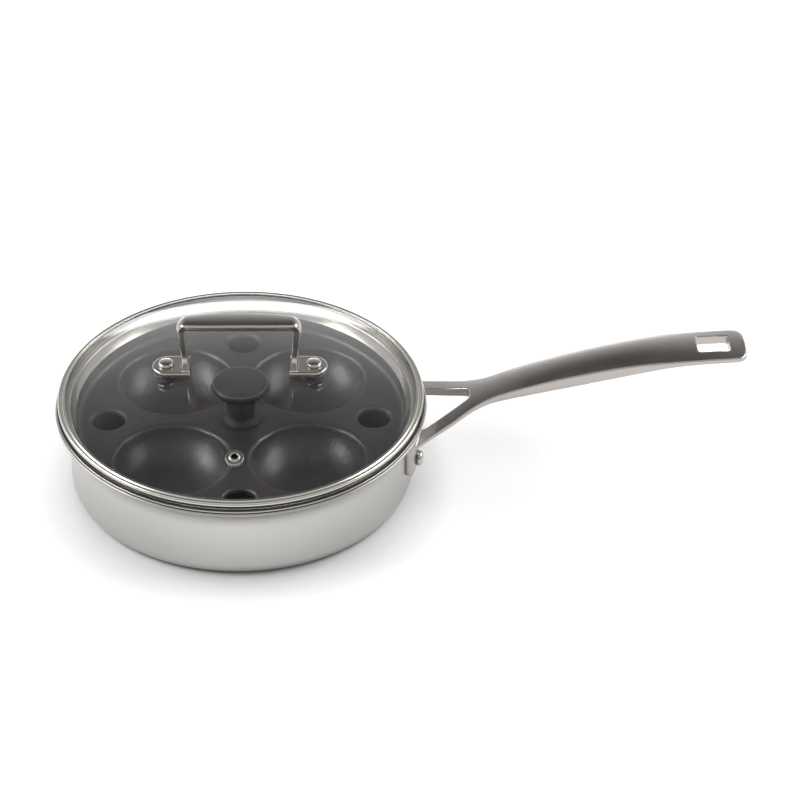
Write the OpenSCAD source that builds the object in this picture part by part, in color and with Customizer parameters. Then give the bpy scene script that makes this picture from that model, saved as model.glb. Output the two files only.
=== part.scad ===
// Four-cup egg poacher pan: shallow pan with a forked cast handle, a drop-in
// poaching tray, and a domed glass lid with a steel rim and a cast arch handle.
// The pan's axis is Z, its base rests at z = 0, and the long handle points along +X.

/* [Pan] */
// Outer radius of the straight wall
pan_r = 97.3; // [80:0.1:130]
// Thickness of the wall
pan_wall = 1.3; // [1:0.1:2.5]
// Thickness of the base
pan_base = 3.2; // [2:0.1:6]
// Outer radius of the corner between base and wall
pan_corner_r = 8; // [6:0.5:12]
// Height at which the wall starts to flare
flare_z = 34.3; // [28:0.1:50]
// Radius of the flare's outer face
flare_r = 16.1; // [12:0.1:20]
// How far the flare turns away from the wall, in degrees
flare_turn = 59; // [50:1:65]

/* [Tray] */
// Thickness of the tray's sheet
tray_sheet = 1; // [0.8:0.1:1.4]
// Depth of the plate below the pan's rim
tray_drop = 12.2; // [10:0.1:16]
// Number of egg cups, and of steam holes between them
cups = 4; // [4:1:5]
// Width of the plate between neighbouring cups
cup_gap = 6.1; // [3:0.1:12]
// Width of the plate between a cup and the corner of the tray's wall
cup_edge_gap = 0.7; // [0.4:0.1:6]
// Depth of a cup below the plate
cup_depth = 18.5; // [12:0.5:23]
// Radius of a cup's rounded lip
cup_lip_r = 3.5; // [2.5:0.1:5]
// Radius of the flat in the bottom of a cup
cup_flat_r = 7; // [4:0.5:12]
// Radius of a steam hole
steam_hole_r = 9; // [6:0.1:11]
// Width of the plate between a steam hole's edge and the corner of the tray's wall
steam_hole_edge_gap = 2.9; // [1:0.1:6]
// Radius of the knob's disc
knob_r = 16.5; // [12:0.5:20]
// Height of the knob above the plate
knob_h = 24.5; // [18:0.5:30]
// How far the tray is turned from the long handle, in degrees
tray_turn = -4.6; // [-45:0.1:45]

/* [Lid] */
// Thickness of the glass
glass_t = 3.6; // [3:0.1:5]
// Rise of the glass dome above its edge
dome_rise = 18.8; // [16:0.1:28]
// Radius of the rolled bead round the lid
bead_r = 1.4; // [1:0.1:2]
// Distance from the edge of the glass to the steam vent
vent_inset = 27.9; // [20:0.1:36]
// How far the lid is turned from the long handle, in degrees
lid_turn = -5.3; // [-45:0.1:45]
// Width of the lid handle's bar, outside
lid_bar_w = 70; // [54:0.5:84]
// Depth of the bar, front to back
lid_bar_d = 13; // [9:0.5:16]
// Thickness of the bar and its legs
lid_bar_t = 4.6; // [3.5:0.1:5.6]
// Height of the bar's top above the feet
lid_bar_h = 31.5; // [24:0.1:40]
// Distance from the outside of a leg, at its foot, to the foot's screw
lid_screw_out = 9.1; // [8:0.1:14]

/* [Long handle] */
// Distance from the pan's wall to the handle's tip
handle_reach = 189.7; // [150:0.1:230]
// Length of the fork, from the pan's wall to the neck where its legs have joined
fork_l = 42.6; // [36:0.1:55]
// Angle from the handle's line to the middle of each pad, in degrees
pad_angle = 15; // [13:0.5:22]
// Width of each pad round the pan
pad_w = 25; // [18:0.5:30]
// Height of each pad
pad_h = 21.8; // [16:0.1:26]
// Thickness of each pad
pad_t = 4.2; // [3.5:0.1:7]
// Height of the grip's top above the root of the fork
grip_rise = 37.4; // [20:0.1:45]
// Half width of the grip at its widest
grip_half_w = 14.5; // [11:0.1:17]
// Thickness of the grip at its deepest
grip_t = 12.8; // [9:0.1:15.5]
// Length of the hanging slot
slot_l = 18.6; // [12:0.1:24]
// Width of the hanging slot
slot_w = 15; // [8:0.1:18]
// Radius of a handle rivet's shank
rivet_r = 2.6; // [2:0.1:3.5]
// Radius of a handle rivet's head
rivet_head_r = 4.5; // [3.8:0.1:6]

/* [Hidden] */
$fn = 96;

// Clearances: under a piece that rests on another, and round or under a fixed one
seat_gap = 0.35;
slip = 0.05;
// How far a cutter runs past what it cuts
past = 1;

// Colours
satin_steel = [0.74, 0.73, 0.71];
cast_steel = [0.6, 0.58, 0.56];
coating = [0.2, 0.19, 0.2];
clear_glass = [0.85, 0.9, 0.9, 0.35];
silicone = [0.35, 0.35, 0.36];

// Points of an arc in the profile plane, from angle a0 to a1
function arc(c, r, a0, a1, n = 10) =
    [for (i = [0:n]) let (a = a0 + (a1 - a0) * i / n) c + r * [cos(a), sin(a)]];

// Pan: flare centre, and the two corners of the rim
flare_c = [pan_r + flare_r, flare_z];
rim_a = 180 - flare_turn;
rim_top = flare_c + (flare_r + pan_wall) * [cos(rim_a), sin(rim_a)];

// Tray: heights and radii, measured from the rim that carries it
plate_z = rim_top[1] - tray_drop;
flange_w = 9;
flange_fall = 1.3;
flange_bend_r = tray_sheet + 0.2;
flange_out = [rim_top[0] - 0.25, rim_top[1] + seat_gap];
flange_in_r = rim_top[0] - flange_w;
flange_top_z = flange_out[1] + tray_sheet;
function flange_z(r) = flange_top_z - flange_fall * (flange_out[0] - r) / (flange_out[0] - flange_in_r);
upper_slope_h = 4.9;
upper_slope_w = 2.9;
tray_wall_r = flange_in_r - upper_slope_w;
tray_corner_r = 3.5;
plate_r = tray_wall_r - tray_corner_r;

// Cups as large as the plate and the gaps round them allow
cup_sin = sin(180 / cups);
cup_r = ((plate_r - cup_edge_gap) * cup_sin - cup_gap / 2) / (1 + cup_sin);
cup_reach = plate_r - cup_edge_gap - cup_r;
steam_hole_lip = 2.2;
steam_hole_reach = plate_r - steam_hole_edge_gap - steam_hole_lip - steam_hole_r;

// Bowl that runs smoothly from the flat in a cup's bottom into its lip
bowl_r = (pow(cup_r - cup_flat_r, 2) + pow(cup_depth, 2) - 2 * cup_depth * cup_lip_r) / (2 * cup_depth);
bowl_c = [cup_flat_r, plate_z - cup_depth + bowl_r];
lip_c = [cup_r, plate_z - cup_lip_r];
lip_a = atan2(lip_c[1] - bowl_c[1], lip_c[0] - bowl_c[0]);

// Knob of the tray, its washer and its screw
stem_r = 8;
knob_foot_r = 10.5;
knob_disc_h = 3;
knob_screw_r = 2;
knob_screw_reach = 11;
knob_washer_r = 6.5;
knob_washer_t = 1;

// Lid: its seat on the tray's flange, then the glass, the dome and the bead
strip_t = 0.4;
skirt_t = 0.6;
lid_seat_r = rim_top[0] - 3.3;
lid_seat_z = flange_z(lid_seat_r) + seat_gap;
glass_edge_r = lid_seat_r - skirt_t - 2 * slip;
dome_r = (pow(glass_edge_r, 2) + pow(dome_rise, 2)) / (2 * dome_rise);
glass_edge_h = sqrt(pow(dome_r, 2) - pow(glass_edge_r, 2)) - sqrt(pow(dome_r - glass_t, 2) - pow(glass_edge_r, 2));
glass_edge_z = lid_seat_z + strip_t + slip + glass_edge_h;
dome_c_z = glass_edge_z + dome_rise - dome_r;
function dome_z(r) = dome_c_z + sqrt(dome_r * dome_r - r * r);
function dome_under_z(r) = dome_c_z + sqrt(pow(dome_r - glass_t, 2) - r * r);
bead_c = [rim_top[0] - 1 - bead_r, glass_edge_z - 0.75];

// Lid handle: the arch's corners and the lean of its legs, then the feet and their fixings
arch_rise = 1.2;
arch_corner_r = 6;
leg_lean = 5.5;
foot_t = 2.9;
foot_half_w = 9;
foot_edge_r = 1;
foot_clear = 0.47;
bar_edge_r = 1.3;
gasket_r = 7.5;
washer_t = 2;
lid_screw_r = 2.4;
lid_head_r = 4.35;
nut_r = 4.6;
nut_h = 3.4;
nut_floor = 0.4;
arch_r = (pow(lid_bar_w / 2, 2) + arch_rise * arch_rise) / (2 * arch_rise);
arch_a = asin((lid_bar_w / 2 - arch_corner_r) / (arch_r - arch_corner_r));
leg_h = lid_bar_h + foot_t - arch_r + (arch_r - arch_corner_r) * cos(arch_a) - arch_corner_r * sin(leg_lean);
leg_foot_x = lid_bar_w / 2 - arch_corner_r * (1 - cos(leg_lean)) - leg_h * tan(leg_lean);
lid_screw_x = leg_foot_x + lid_screw_out;
foot_z = dome_z(leg_foot_x - lid_bar_t) + foot_clear;
gasket_t = foot_z - dome_z(lid_screw_x);
bar_top_z = foot_z + foot_t + lid_bar_h;

// Vent
vent_a = asin((glass_edge_r - vent_inset) / dome_r);
vent_hole_r = 1.9;
vent_tube_r = 3;
vent_flange_r = 5.15;

// Long handle: pads and rivets hang below the flare, and the fork's root starts beside it
pad_top_z = flare_z + 4.2;
pad_low_z = pad_top_z - pad_h;
pad_out_r = pan_r + pad_t;
pad_corner_r = 4.5;
pad_face_r = 30;
pad_taper = 1.6;
handle_rivet_z = pad_low_z + 6.3;
root_z = flare_z + 0.7;
root_gap = 2.2;
tip_x = pan_r + handle_reach;
tip_corner_r = 6;
tip_wall = 9;
slot_x = tip_x - tip_wall - slot_l / 2;
slot_corner_r = min(2, slot_w / 2 - 0.5);
fork_half_w = pan_r * sin(pad_angle) + pad_w / 2 - 2.8;

// Each station of the handle: [share of the fork's length, share of the grip's length,
// share of the rise, share of the fork's half width, share of the grip's half width,
// share of the grip's thickness, crown of the top in mm]
stations = [
    [-0.133, 0, 0, 1, 0, 0.43, 1.3],
    [0.155, 0, 0.106, 0.81, 0, 0.43, 1.4],
    [0.487, 0, 0.223, 0.469, 0.3, 0.44, 1.4],
    [0.766, 0, 0.333, 0.163, 0.58, 0.47, 1.3],
    [1, 0, 0.427, 0.012, 0.73, 0.55, 1.2],
    [1, 0.069, 0.524, 0, 0.752, 0.68, 1.3],
    [1, 0.145, 0.622, 0, 0.79, 0.81, 1.6],
    [1, 0.247, 0.738, 0, 0.834, 0.94, 2],
    [1, 0.357, 0.84, 0, 0.886, 1, 2.3],
    [1, 0.473, 0.924, 0, 0.924, 0.98, 2.4],
    [1, 0.589, 0.98, 0, 0.962, 0.86, 2.3],
    [1, 0.699, 1, 0, 0.997, 0.63, 2],
    [1, 0.809, 1, 0, 1, 0.51, 1.6],
    [1, 0.904, 0.995, 0, 1, 0.47, 1.3],
    [1, 0.959, 0.989, 0, 0.993, 0.46, 1.1],
    [1, 1, 0.987, 0, 0.986, 0.45, 1]
];
station_x = [for (s = stations) pan_r + fork_l * s[0] + (handle_reach - fork_l) * s[1]];

// Smooth value of column k at x, through the stations
function slope(i, k) = let (a = max(i - 1, 0), b = min(i + 1, len(stations) - 1))
    (stations[b][k] - stations[a][k]) / (station_x[b] - station_x[a]);
function seat(x, i = 0) = i >= len(stations) - 2 || x < station_x[i + 1] ? i : seat(x, i + 1);
function along(x, k) = let (i = seat(x), d = station_x[i + 1] - station_x[i], t = (x - station_x[i]) / d)
    (2 * t * t * t - 3 * t * t + 1) * stations[i][k] + (t * t * t - 2 * t * t + t) * d * slope(i, k)
    + (3 * t * t - 2 * t * t * t) * stations[i + 1][k] + (t * t * t - t * t) * d * slope(i + 1, k);

// Half width of the handle at x, drawn in round the tip's corners
function side_w(x) = fork_half_w * along(x, 3) + grip_half_w * along(x, 4);
function half_w(x) = let (e = x - tip_x + tip_corner_r)
    side_w(x) - (e <= 0 ? 0 : tip_corner_r - sqrt(max(0, tip_corner_r * tip_corner_r - e * e)));
function top_z(x) = root_z + grip_rise * along(x, 2);
function thick(x) = grip_t * along(x, 5);
function crown(x) = along(x, 6);

// One cross-section of the handle: crowned top, rounded edges, short sides, rounded underside
edge_r = 0.7;
side_share = 0.3;
under_power = 0.6;
top_steps = 8;
under_steps = 12;
function section(x) = let (w = half_w(x), t = thick(x), c = crown(x), z = top_z(x), low = z - c - edge_r,
        side = side_share * t, belly = t - c - edge_r - side)
    concat(
        [for (i = [0:top_steps]) let (u = 1 - 2 * i / top_steps) [x, u * (w - edge_r), z - c * u * u]],
        [for (a = [120, 150, 180]) [x, -w + edge_r + edge_r * cos(a), low + edge_r * sin(a)]],
        [for (i = [0:under_steps]) let (a = 180 * i / under_steps)
            [x, -w * sign(cos(a)) * pow(abs(cos(a)), under_power), low - side - belly * sin(a)]],
        [for (a = [0, 30, 60]) [x, w - edge_r + edge_r * cos(a), low + edge_r * sin(a)]]
    );

// Solid through a row of rings that have the same number of points
module loft(rings) {
    n = len(rings[0]);
    m = len(rings);
    sides = [for (i = [0:m - 2]) for (j = [0:n - 1]) let (a = i * n + j, b = i * n + (j + 1) % n)
        each [[a, a + n, b], [b, a + n, b + n]]];
    ends = [[for (j = [0:n - 1]) j], [for (j = [n - 1:-1:0]) (m - 1) * n + j]];
    polyhedron([for (r = rings) each r], concat(sides, ends), convexity = 6);
}

// Puts a shape on a radius of the pan at angle a, with its own Z pointing outwards
module radial(a, z, r) {
    rotate([0, 0, a]) translate([r, 0, z]) rotate([0, 90, 0]) children();
}

module rounded_plate(l, w, r) {
    square([l - 2 * r, w], center = true);
    square([l, w - 2 * r], center = true);
    for (x = [-1, 1], y = [-1, 1]) translate([x * (l / 2 - r), y * (w / 2 - r)]) circle(r);
}

module at_handle_rivets() {
    for (a = [-pad_angle, pad_angle]) radial(a, handle_rivet_z, pan_r - pan_wall - past) children();
}

module pan_shell() {
    inner_corner_r = pan_corner_r - 2.5;
    color(satin_steel) difference() {
        rotate_extrude() polygon(concat(
            [[0, 0]],
            arc([pan_r - pan_corner_r, pan_corner_r], pan_corner_r, -90, 0),
            arc(flare_c, flare_r, 180, rim_a, 12),
            arc(flare_c, flare_r + pan_wall, rim_a, 180, 12),
            arc([pan_r - pan_wall - inner_corner_r, pan_base + inner_corner_r], inner_corner_r, 0, -90),
            [[0, pan_base]]
        ));
        at_handle_rivets() cylinder(r = rivet_r + slip, h = pan_wall + 2 * past);
    }
}

// Pad at angle a, with its inner face on the wall and the start of the flare
module handle_pad(a) {
    turn = asin(pad_w / pan_r);
    over = asin((pad_top_z + past - flare_z) / flare_r);
    intersection() {
        rotate([0, 0, a - turn]) rotate_extrude(angle = 2 * turn) polygon(concat(
            [[pan_r + slip, pad_low_z - past]],
            arc(flare_c, flare_r - slip, 180, 180 - over, 8),
            [[pad_out_r, pad_top_z + past], [pad_out_r, handle_rivet_z - 3], [pad_out_r - pad_taper, pad_low_z - past]]
        ));
        rotate([0, 0, a]) translate([pad_out_r - pad_face_r, 0, pad_low_z - past])
            cylinder(r = pad_face_r, h = pad_h + 2 * past);
        radial(a, pad_top_z - pad_h / 2, pan_r - 6) linear_extrude(pad_t + 14)
            rounded_plate(pad_h, pad_w, pad_corner_r);
    }
}

// Opening between the legs of the fork
module handle_window() {
    apex_r = 3.5;
    root_r = 5;
    apex_x = pan_r + fork_l - 13.7;
    root_x = pan_r + 4.6;
    leg_apex_w = 10.4;
    leg_root_w = 10.2;
    translate([0, 0, root_z - 25]) linear_extrude(60) hull() for (s = [-1, 1]) {
        translate([apex_x, s * (half_w(apex_x) - leg_apex_w - apex_r)]) circle(apex_r, $fn = 32);
        translate([root_x, s * (half_w(root_x) - leg_root_w - root_r)]) circle(root_r, $fn = 32);
    }
}

module long_handle() {
    steps = 48;
    x0 = pan_r - 5.5;
    // Even steps along the handle that grow shorter towards the tip's corners
    shares = [for (i = [0:steps]) let (t = i / steps) t < 0.9 ? t : 1 - 10 * pow(1 - t, 2)];
    color(cast_steel) difference() {
        union() {
            difference() {
                loft([for (t = shares) section(x0 + (tip_x - x0) * t)]);
                translate([0, 0, root_z - 30]) cylinder(r = pan_r + root_gap, h = 60);
                handle_window();
            }
            for (a = [-pad_angle, pad_angle]) handle_pad(a);
        }
        at_handle_rivets() cylinder(r = rivet_r + slip, h = pad_t + 14);
        translate([slot_x, 0, root_z + grip_rise - 25]) linear_extrude(40)
            rounded_plate(slot_l, slot_w, slot_corner_r);
    }
}

module handle_rivet(a) {
    inside = pan_r - pan_wall - 0.12;
    inner_head_h = 1.6;
    edge_h = 1.1;
    dome_h = 2.9;
    round_r = 1.6;
    seat_r = pad_out_r + slip;
    color(satin_steel) radial(a, handle_rivet_z, 0) rotate_extrude() polygon(concat(
        [[0, inside - inner_head_h], [rivet_head_r - 1.2, inside - inner_head_h]],
        [[rivet_head_r, inside - 0.5], [rivet_head_r, inside]],
        [[rivet_r, inside], [rivet_r, seat_r], [rivet_head_r, seat_r]],
        arc([rivet_head_r - round_r, seat_r + edge_h], round_r, 0, 62, 6),
        [[0, seat_r + dome_h]]
    ));
}

module tray_sheet_profile() {
    t = tray_sheet;
    bend_c = [flange_in_r + flange_bend_r, flange_z(flange_in_r) - flange_bend_r];
    corner_c = [plate_r, plate_z + tray_corner_r];
    step_z = flange_z(flange_in_r) - upper_slope_h;
    polygon(concat(
        [[0, plate_z]],
        arc(corner_c, tray_corner_r, -90, 0, 6),
        [[tray_wall_r, step_z]],
        arc(bend_c, flange_bend_r, 165, 98, 5),
        [[flange_out[0], flange_top_z], flange_out],
        arc(bend_c, flange_bend_r - t, 98, 165, 3),
        [[tray_wall_r + t, step_z - 0.2]],
        arc(corner_c, tray_corner_r + t, 0, -90, 6),
        [[0, plate_z - t]]
    ));
}

// A pressed cup and its lip, from its axis to just inside the plate
module cup_profile() {
    t = tray_sheet;
    polygon(concat(
        [[0, plate_z - cup_depth]],
        arc(bowl_c, bowl_r, -90, lip_a, 14),
        arc(lip_c, cup_lip_r, lip_a + 180, 90, 7),
        [[cup_r + 0.5, plate_z], [cup_r + 0.5, plate_z - t]],
        arc(lip_c, cup_lip_r - t, 90, lip_a + 180, 7),
        arc(bowl_c, bowl_r + t, lip_a, -90, 14),
        [[0, plate_z - cup_depth - t]]
    ));
}

// The turned-down edge of a steam hole
module steam_hole_profile() {
    t = tray_sheet;
    c = [steam_hole_r + steam_hole_lip, plate_z - steam_hole_lip];
    hem_h = 1;
    polygon(concat(
        arc(c, steam_hole_lip, 90, 180, 6),
        [[steam_hole_r, c[1] - hem_h], [steam_hole_r + t, c[1] - hem_h]],
        arc(c, steam_hole_lip - t, 180, 90, 6),
        [[c[0] + 0.5, plate_z - t], [c[0] + 0.5, plate_z]]
    ));
}

module at_cups() {
    for (i = [0:cups - 1]) rotate([0, 0, tray_turn + (i + 0.5) * 360 / cups]) translate([cup_reach, 0, 0]) children();
}

module at_steam_holes() {
    for (i = [0:cups - 1]) rotate([0, 0, tray_turn + i * 360 / cups]) translate([steam_hole_reach, 0, 0]) children();
}

module poacher_tray() {
    cut_h = 10;
    color(coating) union() {
        difference() {
            rotate_extrude() tray_sheet_profile();
            translate([0, 0, plate_z - cut_h / 2]) {
                at_cups() cylinder(r = cup_r + 0.25, h = cut_h);
                at_steam_holes() cylinder(r = steam_hole_r + steam_hole_lip + 0.25, h = cut_h);
                cylinder(r = knob_screw_r + slip, h = cut_h);
            }
        }
        at_cups() rotate_extrude() cup_profile();
        at_steam_holes() rotate_extrude() steam_hole_profile();
    }
}

module tray_knob() {
    z = plate_z + slip;
    top = plate_z + knob_h;
    foot_h = 1;
    foot_fillet_r = knob_foot_r + 1.2 - stem_r;
    neck_r = 4;
    neck_z = top - 9;
    color(coating) difference() {
        rotate_extrude() polygon(concat(
            [[0, z], [knob_foot_r, z]],
            arc([knob_foot_r + 1.2, z + foot_h + foot_fillet_r], foot_fillet_r, 265, 180, 6),
            arc([stem_r + neck_r, neck_z], neck_r, 180, 110, 6),
            [[knob_r - 1.6, top - knob_disc_h - 0.6]],
            arc([knob_r - 1, top - knob_disc_h + 0.4], 1, -60, 20, 5),
            arc([knob_r - 1.4, top - 1], 1, 20, 90, 5),
            [[0, top]]
        ));
        translate([0, 0, z - past]) cylinder(r = knob_screw_r + slip, h = knob_screw_reach + 2 * past);
    }
}

module tray_knob_washer() {
    color(satin_steel) translate([0, 0, plate_z - tray_sheet - slip - knob_washer_t]) difference() {
        cylinder(r = knob_washer_r, h = knob_washer_t);
        translate([0, 0, -past]) cylinder(r = knob_screw_r + slip, h = knob_washer_t + 2 * past);
    }
}

module tray_knob_screw() {
    under = plate_z - tray_sheet - knob_washer_t - 2 * slip;
    head_r = 3.6;
    head_h = 2.6;
    cross_l = 4.4;
    cross_w = 0.8;
    color(satin_steel) difference() {
        rotate_extrude() polygon(concat(
            [[0, under - head_h], [1.6, under - head_h]],
            arc([head_r - 1.2, under - 1.4], 1.2, -90, 0, 5),
            [[head_r, under], [knob_screw_r, under]],
            [[knob_screw_r, plate_z + knob_screw_reach], [0, plate_z + knob_screw_reach]]
        ));
        for (a = [0, 90]) rotate([0, 0, a]) translate([-cross_l / 2, -cross_w / 2, under - head_h - past])
            cube([cross_l, cross_w, past + 1.1]);
    }
}

module lid_glass() {
    color(clear_glass) difference() {
        intersection() {
            translate([0, 0, dome_c_z]) sphere(dome_r, $fn = 240);
            translate([0, 0, glass_edge_z - glass_edge_h - past]) cylinder(r = glass_edge_r, h = dome_rise + 20);
        }
        translate([0, 0, dome_c_z]) sphere(dome_r - glass_t, $fn = 240);
        for (s = [-1, 1]) at_lid_screw(s) translate([0, 0, dome_z(lid_screw_x) - 12])
            cylinder(r = lid_screw_r + 0.8, h = 24);
        at_vent() translate([0, 0, -12]) cylinder(r = vent_tube_r + slip, h = 24);
    }
}

// Rolled strip: a skirt that stands on the flange, a ledge under the glass and a lip over it,
// with the rolled bead outside
module lid_rim() {
    lip_z = dome_z(glass_edge_r - 0.6) + slip;
    ledge_z = dome_under_z(glass_edge_r) - slip;
    inner_r = glass_edge_r + slip;
    lip_r = glass_edge_r - 1.2;
    ledge_r = glass_edge_r - 1.6;
    ledge_rise = dome_under_z(ledge_r) - dome_under_z(glass_edge_r);
    color(satin_steel) rotate_extrude() {
        translate(bead_c) circle(bead_r);
        polygon([
            [ledge_r, ledge_z + ledge_rise - strip_t], [inner_r, lid_seat_z], [lid_seat_r, lid_seat_z],
            [lid_seat_r + 0.1, bead_c[1] - 0.9], bead_c,
            [lid_seat_r + 0.2, lip_z - 0.2], [lid_seat_r - 0.6, lip_z + 0.5],
            [lip_r, lip_z + 0.85], [lip_r, lip_z + 0.35],
            [inner_r, lip_z], [inner_r, ledge_z], [ledge_r, ledge_z + ledge_rise]
        ]);
    }
}

// Puts a shape on the dome where the vent is, square to the glass, with z = 0 on its top
module at_vent() {
    rotate([0, 0, lid_turn - 91]) translate([0, 0, dome_c_z]) rotate([0, vent_a, 0]) translate([0, 0, dome_r])
        children();
}

module steam_vent() {
    curl_r = vent_flange_r - 0.6;
    color(satin_steel) at_vent() rotate_extrude() polygon([
        [vent_hole_r, -glass_t - 1.2], [vent_hole_r, 1.5], [vent_hole_r + 0.35, 1.75], [vent_tube_r - 0.35, 1.75],
        [vent_tube_r, 1.4], [vent_tube_r + 0.1, 0.75], [vent_flange_r - 0.3, 0.55], [vent_flange_r, 0.25],
        [vent_flange_r, 0.12], [vent_tube_r, 0.12], [vent_tube_r, -glass_t - 0.12],
        [curl_r, -glass_t - 0.12], [curl_r, -glass_t - 0.6], [vent_tube_r - 0.4, -glass_t - 1.2]
    ]);
}

module at_lid_screw(s) {
    rotate([0, 0, lid_turn]) translate([s * lid_screw_x, 0, 0]) children();
}

// How far a leg of the arch spreads at height h above the foot's underside
spread_h = 12;
spread_w = 3.6;
function leg_spread(h) = spread_w * pow(max(0, 1 - h / spread_h), 2);

// Half depth of the arch at x: the bar narrows from its middle towards its legs
arch_waist = 2.2;
function arch_half_d(x) = lid_bar_d / 2 - arch_waist * pow(min(1, abs(x) / (lid_bar_w / 2)), 2.5);

// Ring of the arch: outer point p, direction a of its outside, and spread e
function arch_ring(p, a, e) = let (d = arch_half_d(p[0]) + e, t = lid_bar_t, r = bar_edge_r)
    [for (q = [[1, 1, 0], [-1, 1, 90], [-1, -1, 180], [1, -1, 270]], i = [0:3])
        let (b = q[2] + 30 * i, u = q[0] * (d - r) + r * cos(b),
            v = (q[1] > 0 ? e / 2 - r : r - t) + r * sin(b))
        [p[0] + v * cos(a), u, p[1] + v * sin(a)]];

// Rings of the right half of the arch, from the middle of the bar down to the foot
leg_rings = [1, 2.5, 4, 6, 8.5, 12];
half_arch = let (
        arch_c = [0, bar_top_z - arch_r],
        corner_c = arch_c + (arch_r - arch_corner_r) * [sin(arch_a), cos(arch_a)],
        steps = 5)
    concat(
        [for (i = [0:steps - 1]) let (a = 90 - arch_a * i / steps) [arch_c + arch_r * [cos(a), sin(a)], a, 0]],
        [for (i = [0:7]) let (a = 90 - arch_a - (90 - arch_a + leg_lean) * i / 7)
            [corner_c + arch_corner_r * [cos(a), sin(a)], a, 0]],
        [for (i = [len(leg_rings) - 1:-1:0]) let (h = leg_rings[i])
            [[leg_foot_x + h * tan(leg_lean), foot_z + h], -leg_lean, leg_spread(h)]]
    );

// Foot of the lid handle on side s: a plate with a round end and a rounded upper edge
module foot_outline() {
    polygon(concat([[0, 0], [foot_half_w, 0]],
        arc([foot_half_w - foot_edge_r, foot_t - foot_edge_r], foot_edge_r, 0, 90, 5), [[0, foot_t]]));
}

module lid_foot(s) {
    start_x = leg_foot_x - lid_bar_t + 0.3;
    end_x = lid_screw_x - 1.2;
    mirror([s < 0 ? 1 : 0, 0, 0]) {
        translate([end_x, 0, foot_z]) rotate([0, 0, -90]) rotate_extrude(angle = 180) foot_outline();
        translate([end_x, 0, foot_z]) rotate([90, 0, -90]) linear_extrude(end_x - start_x) {
            foot_outline();
            mirror([1, 0, 0]) foot_outline();
        }
    }
}

module lid_handle() {
    rings = concat(
        [for (i = [len(half_arch) - 1:-1:1]) let (r = half_arch[i])
            arch_ring([-r[0][0], r[0][1]], 180 - r[1], r[2])],
        [for (r = half_arch) arch_ring(r[0], r[1], r[2])]
    );
    color(cast_steel) rotate([0, 0, lid_turn]) difference() {
        union() {
            loft(rings);
            for (s = [-1, 1]) lid_foot(s);
        }
        for (s = [-1, 1]) translate([s * lid_screw_x, 0, foot_z - past])
            cylinder(r = lid_screw_r + slip, h = foot_t + 2 * past);
    }
}

module lid_screw(s) {
    seat_z = foot_z + foot_t + slip;
    low = dome_under_z(lid_screw_x) - washer_t - nut_h + nut_floor + slip;
    edge_h = 0.8;
    dome_h = 2.3;
    round_r = 1.3;
    color(satin_steel) at_lid_screw(s) rotate_extrude() polygon(concat(
        [[0, low], [lid_screw_r, low], [lid_screw_r, seat_z], [lid_head_r, seat_z]],
        arc([lid_head_r - round_r, seat_z + edge_h], round_r, 0, 58, 6),
        [[0, seat_z + dome_h]]
    ));
}

// Ball of the dome, as seen from the screw on side s
module dome_ball(r, s) {
    translate([-s * lid_screw_x, 0, dome_c_z]) sphere(r, $fn = 240);
}

module lid_gasket(s) {
    below = 3;
    color(silicone) at_lid_screw(s) difference() {
        translate([0, 0, dome_z(lid_screw_x) - below]) cylinder(r = gasket_r, h = below + gasket_t - slip);
        dome_ball(dome_r + slip, s);
        translate([0, 0, dome_z(lid_screw_x) - below - past])
            cylinder(r = lid_screw_r + slip, h = below + gasket_t + 2 * past);
    }
}

module lid_washer(s) {
    base = dome_under_z(lid_screw_x) - washer_t;
    above = 3;
    color(silicone) at_lid_screw(s) difference() {
        intersection() {
            translate([0, 0, base]) cylinder(r = gasket_r - 1, h = washer_t + above);
            dome_ball(dome_r - glass_t - slip, s);
        }
        translate([0, 0, base - past]) cylinder(r = lid_screw_r + slip, h = washer_t + above + 2 * past);
    }
}

// Hexagonal nut with a domed cap
module lid_nut(s) {
    low = dome_under_z(lid_screw_x) - washer_t - slip - nut_h;
    cap_r = nut_r - 0.9;
    color(satin_steel) at_lid_screw(s) translate([0, 0, low]) difference() {
        union() {
            cylinder(r = nut_r, h = nut_h, $fn = 6);
            rotate_extrude() polygon(concat([[0, 0.2], [cap_r, 0.2]], arc([0, 0], cap_r, 0, -90, 8)));
        }
        translate([0, 0, nut_floor]) cylinder(r = lid_screw_r + slip, h = nut_h + past);
    }
}

pan_shell();
long_handle();
handle_rivet(-pad_angle);  // handle_rivet_front
handle_rivet(pad_angle);  // handle_rivet_rear
poacher_tray();
tray_knob();
tray_knob_washer();
tray_knob_screw();
lid_glass();
lid_rim();
steam_vent();
lid_handle();
lid_screw(-1);  // lid_screw_left
lid_screw(1);  // lid_screw_right
lid_gasket(-1);  // lid_gasket_left
lid_gasket(1);  // lid_gasket_right
lid_washer(-1);  // lid_washer_left
lid_washer(1);  // lid_washer_right
lid_nut(-1);  // lid_nut_left
lid_nut(1);  // lid_nut_right
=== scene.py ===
import math

import bmesh
import bpy
from mathutils import Matrix, Vector
from mathutils.geometry import convex_hull_2d, delaunay_2d_cdt


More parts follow.
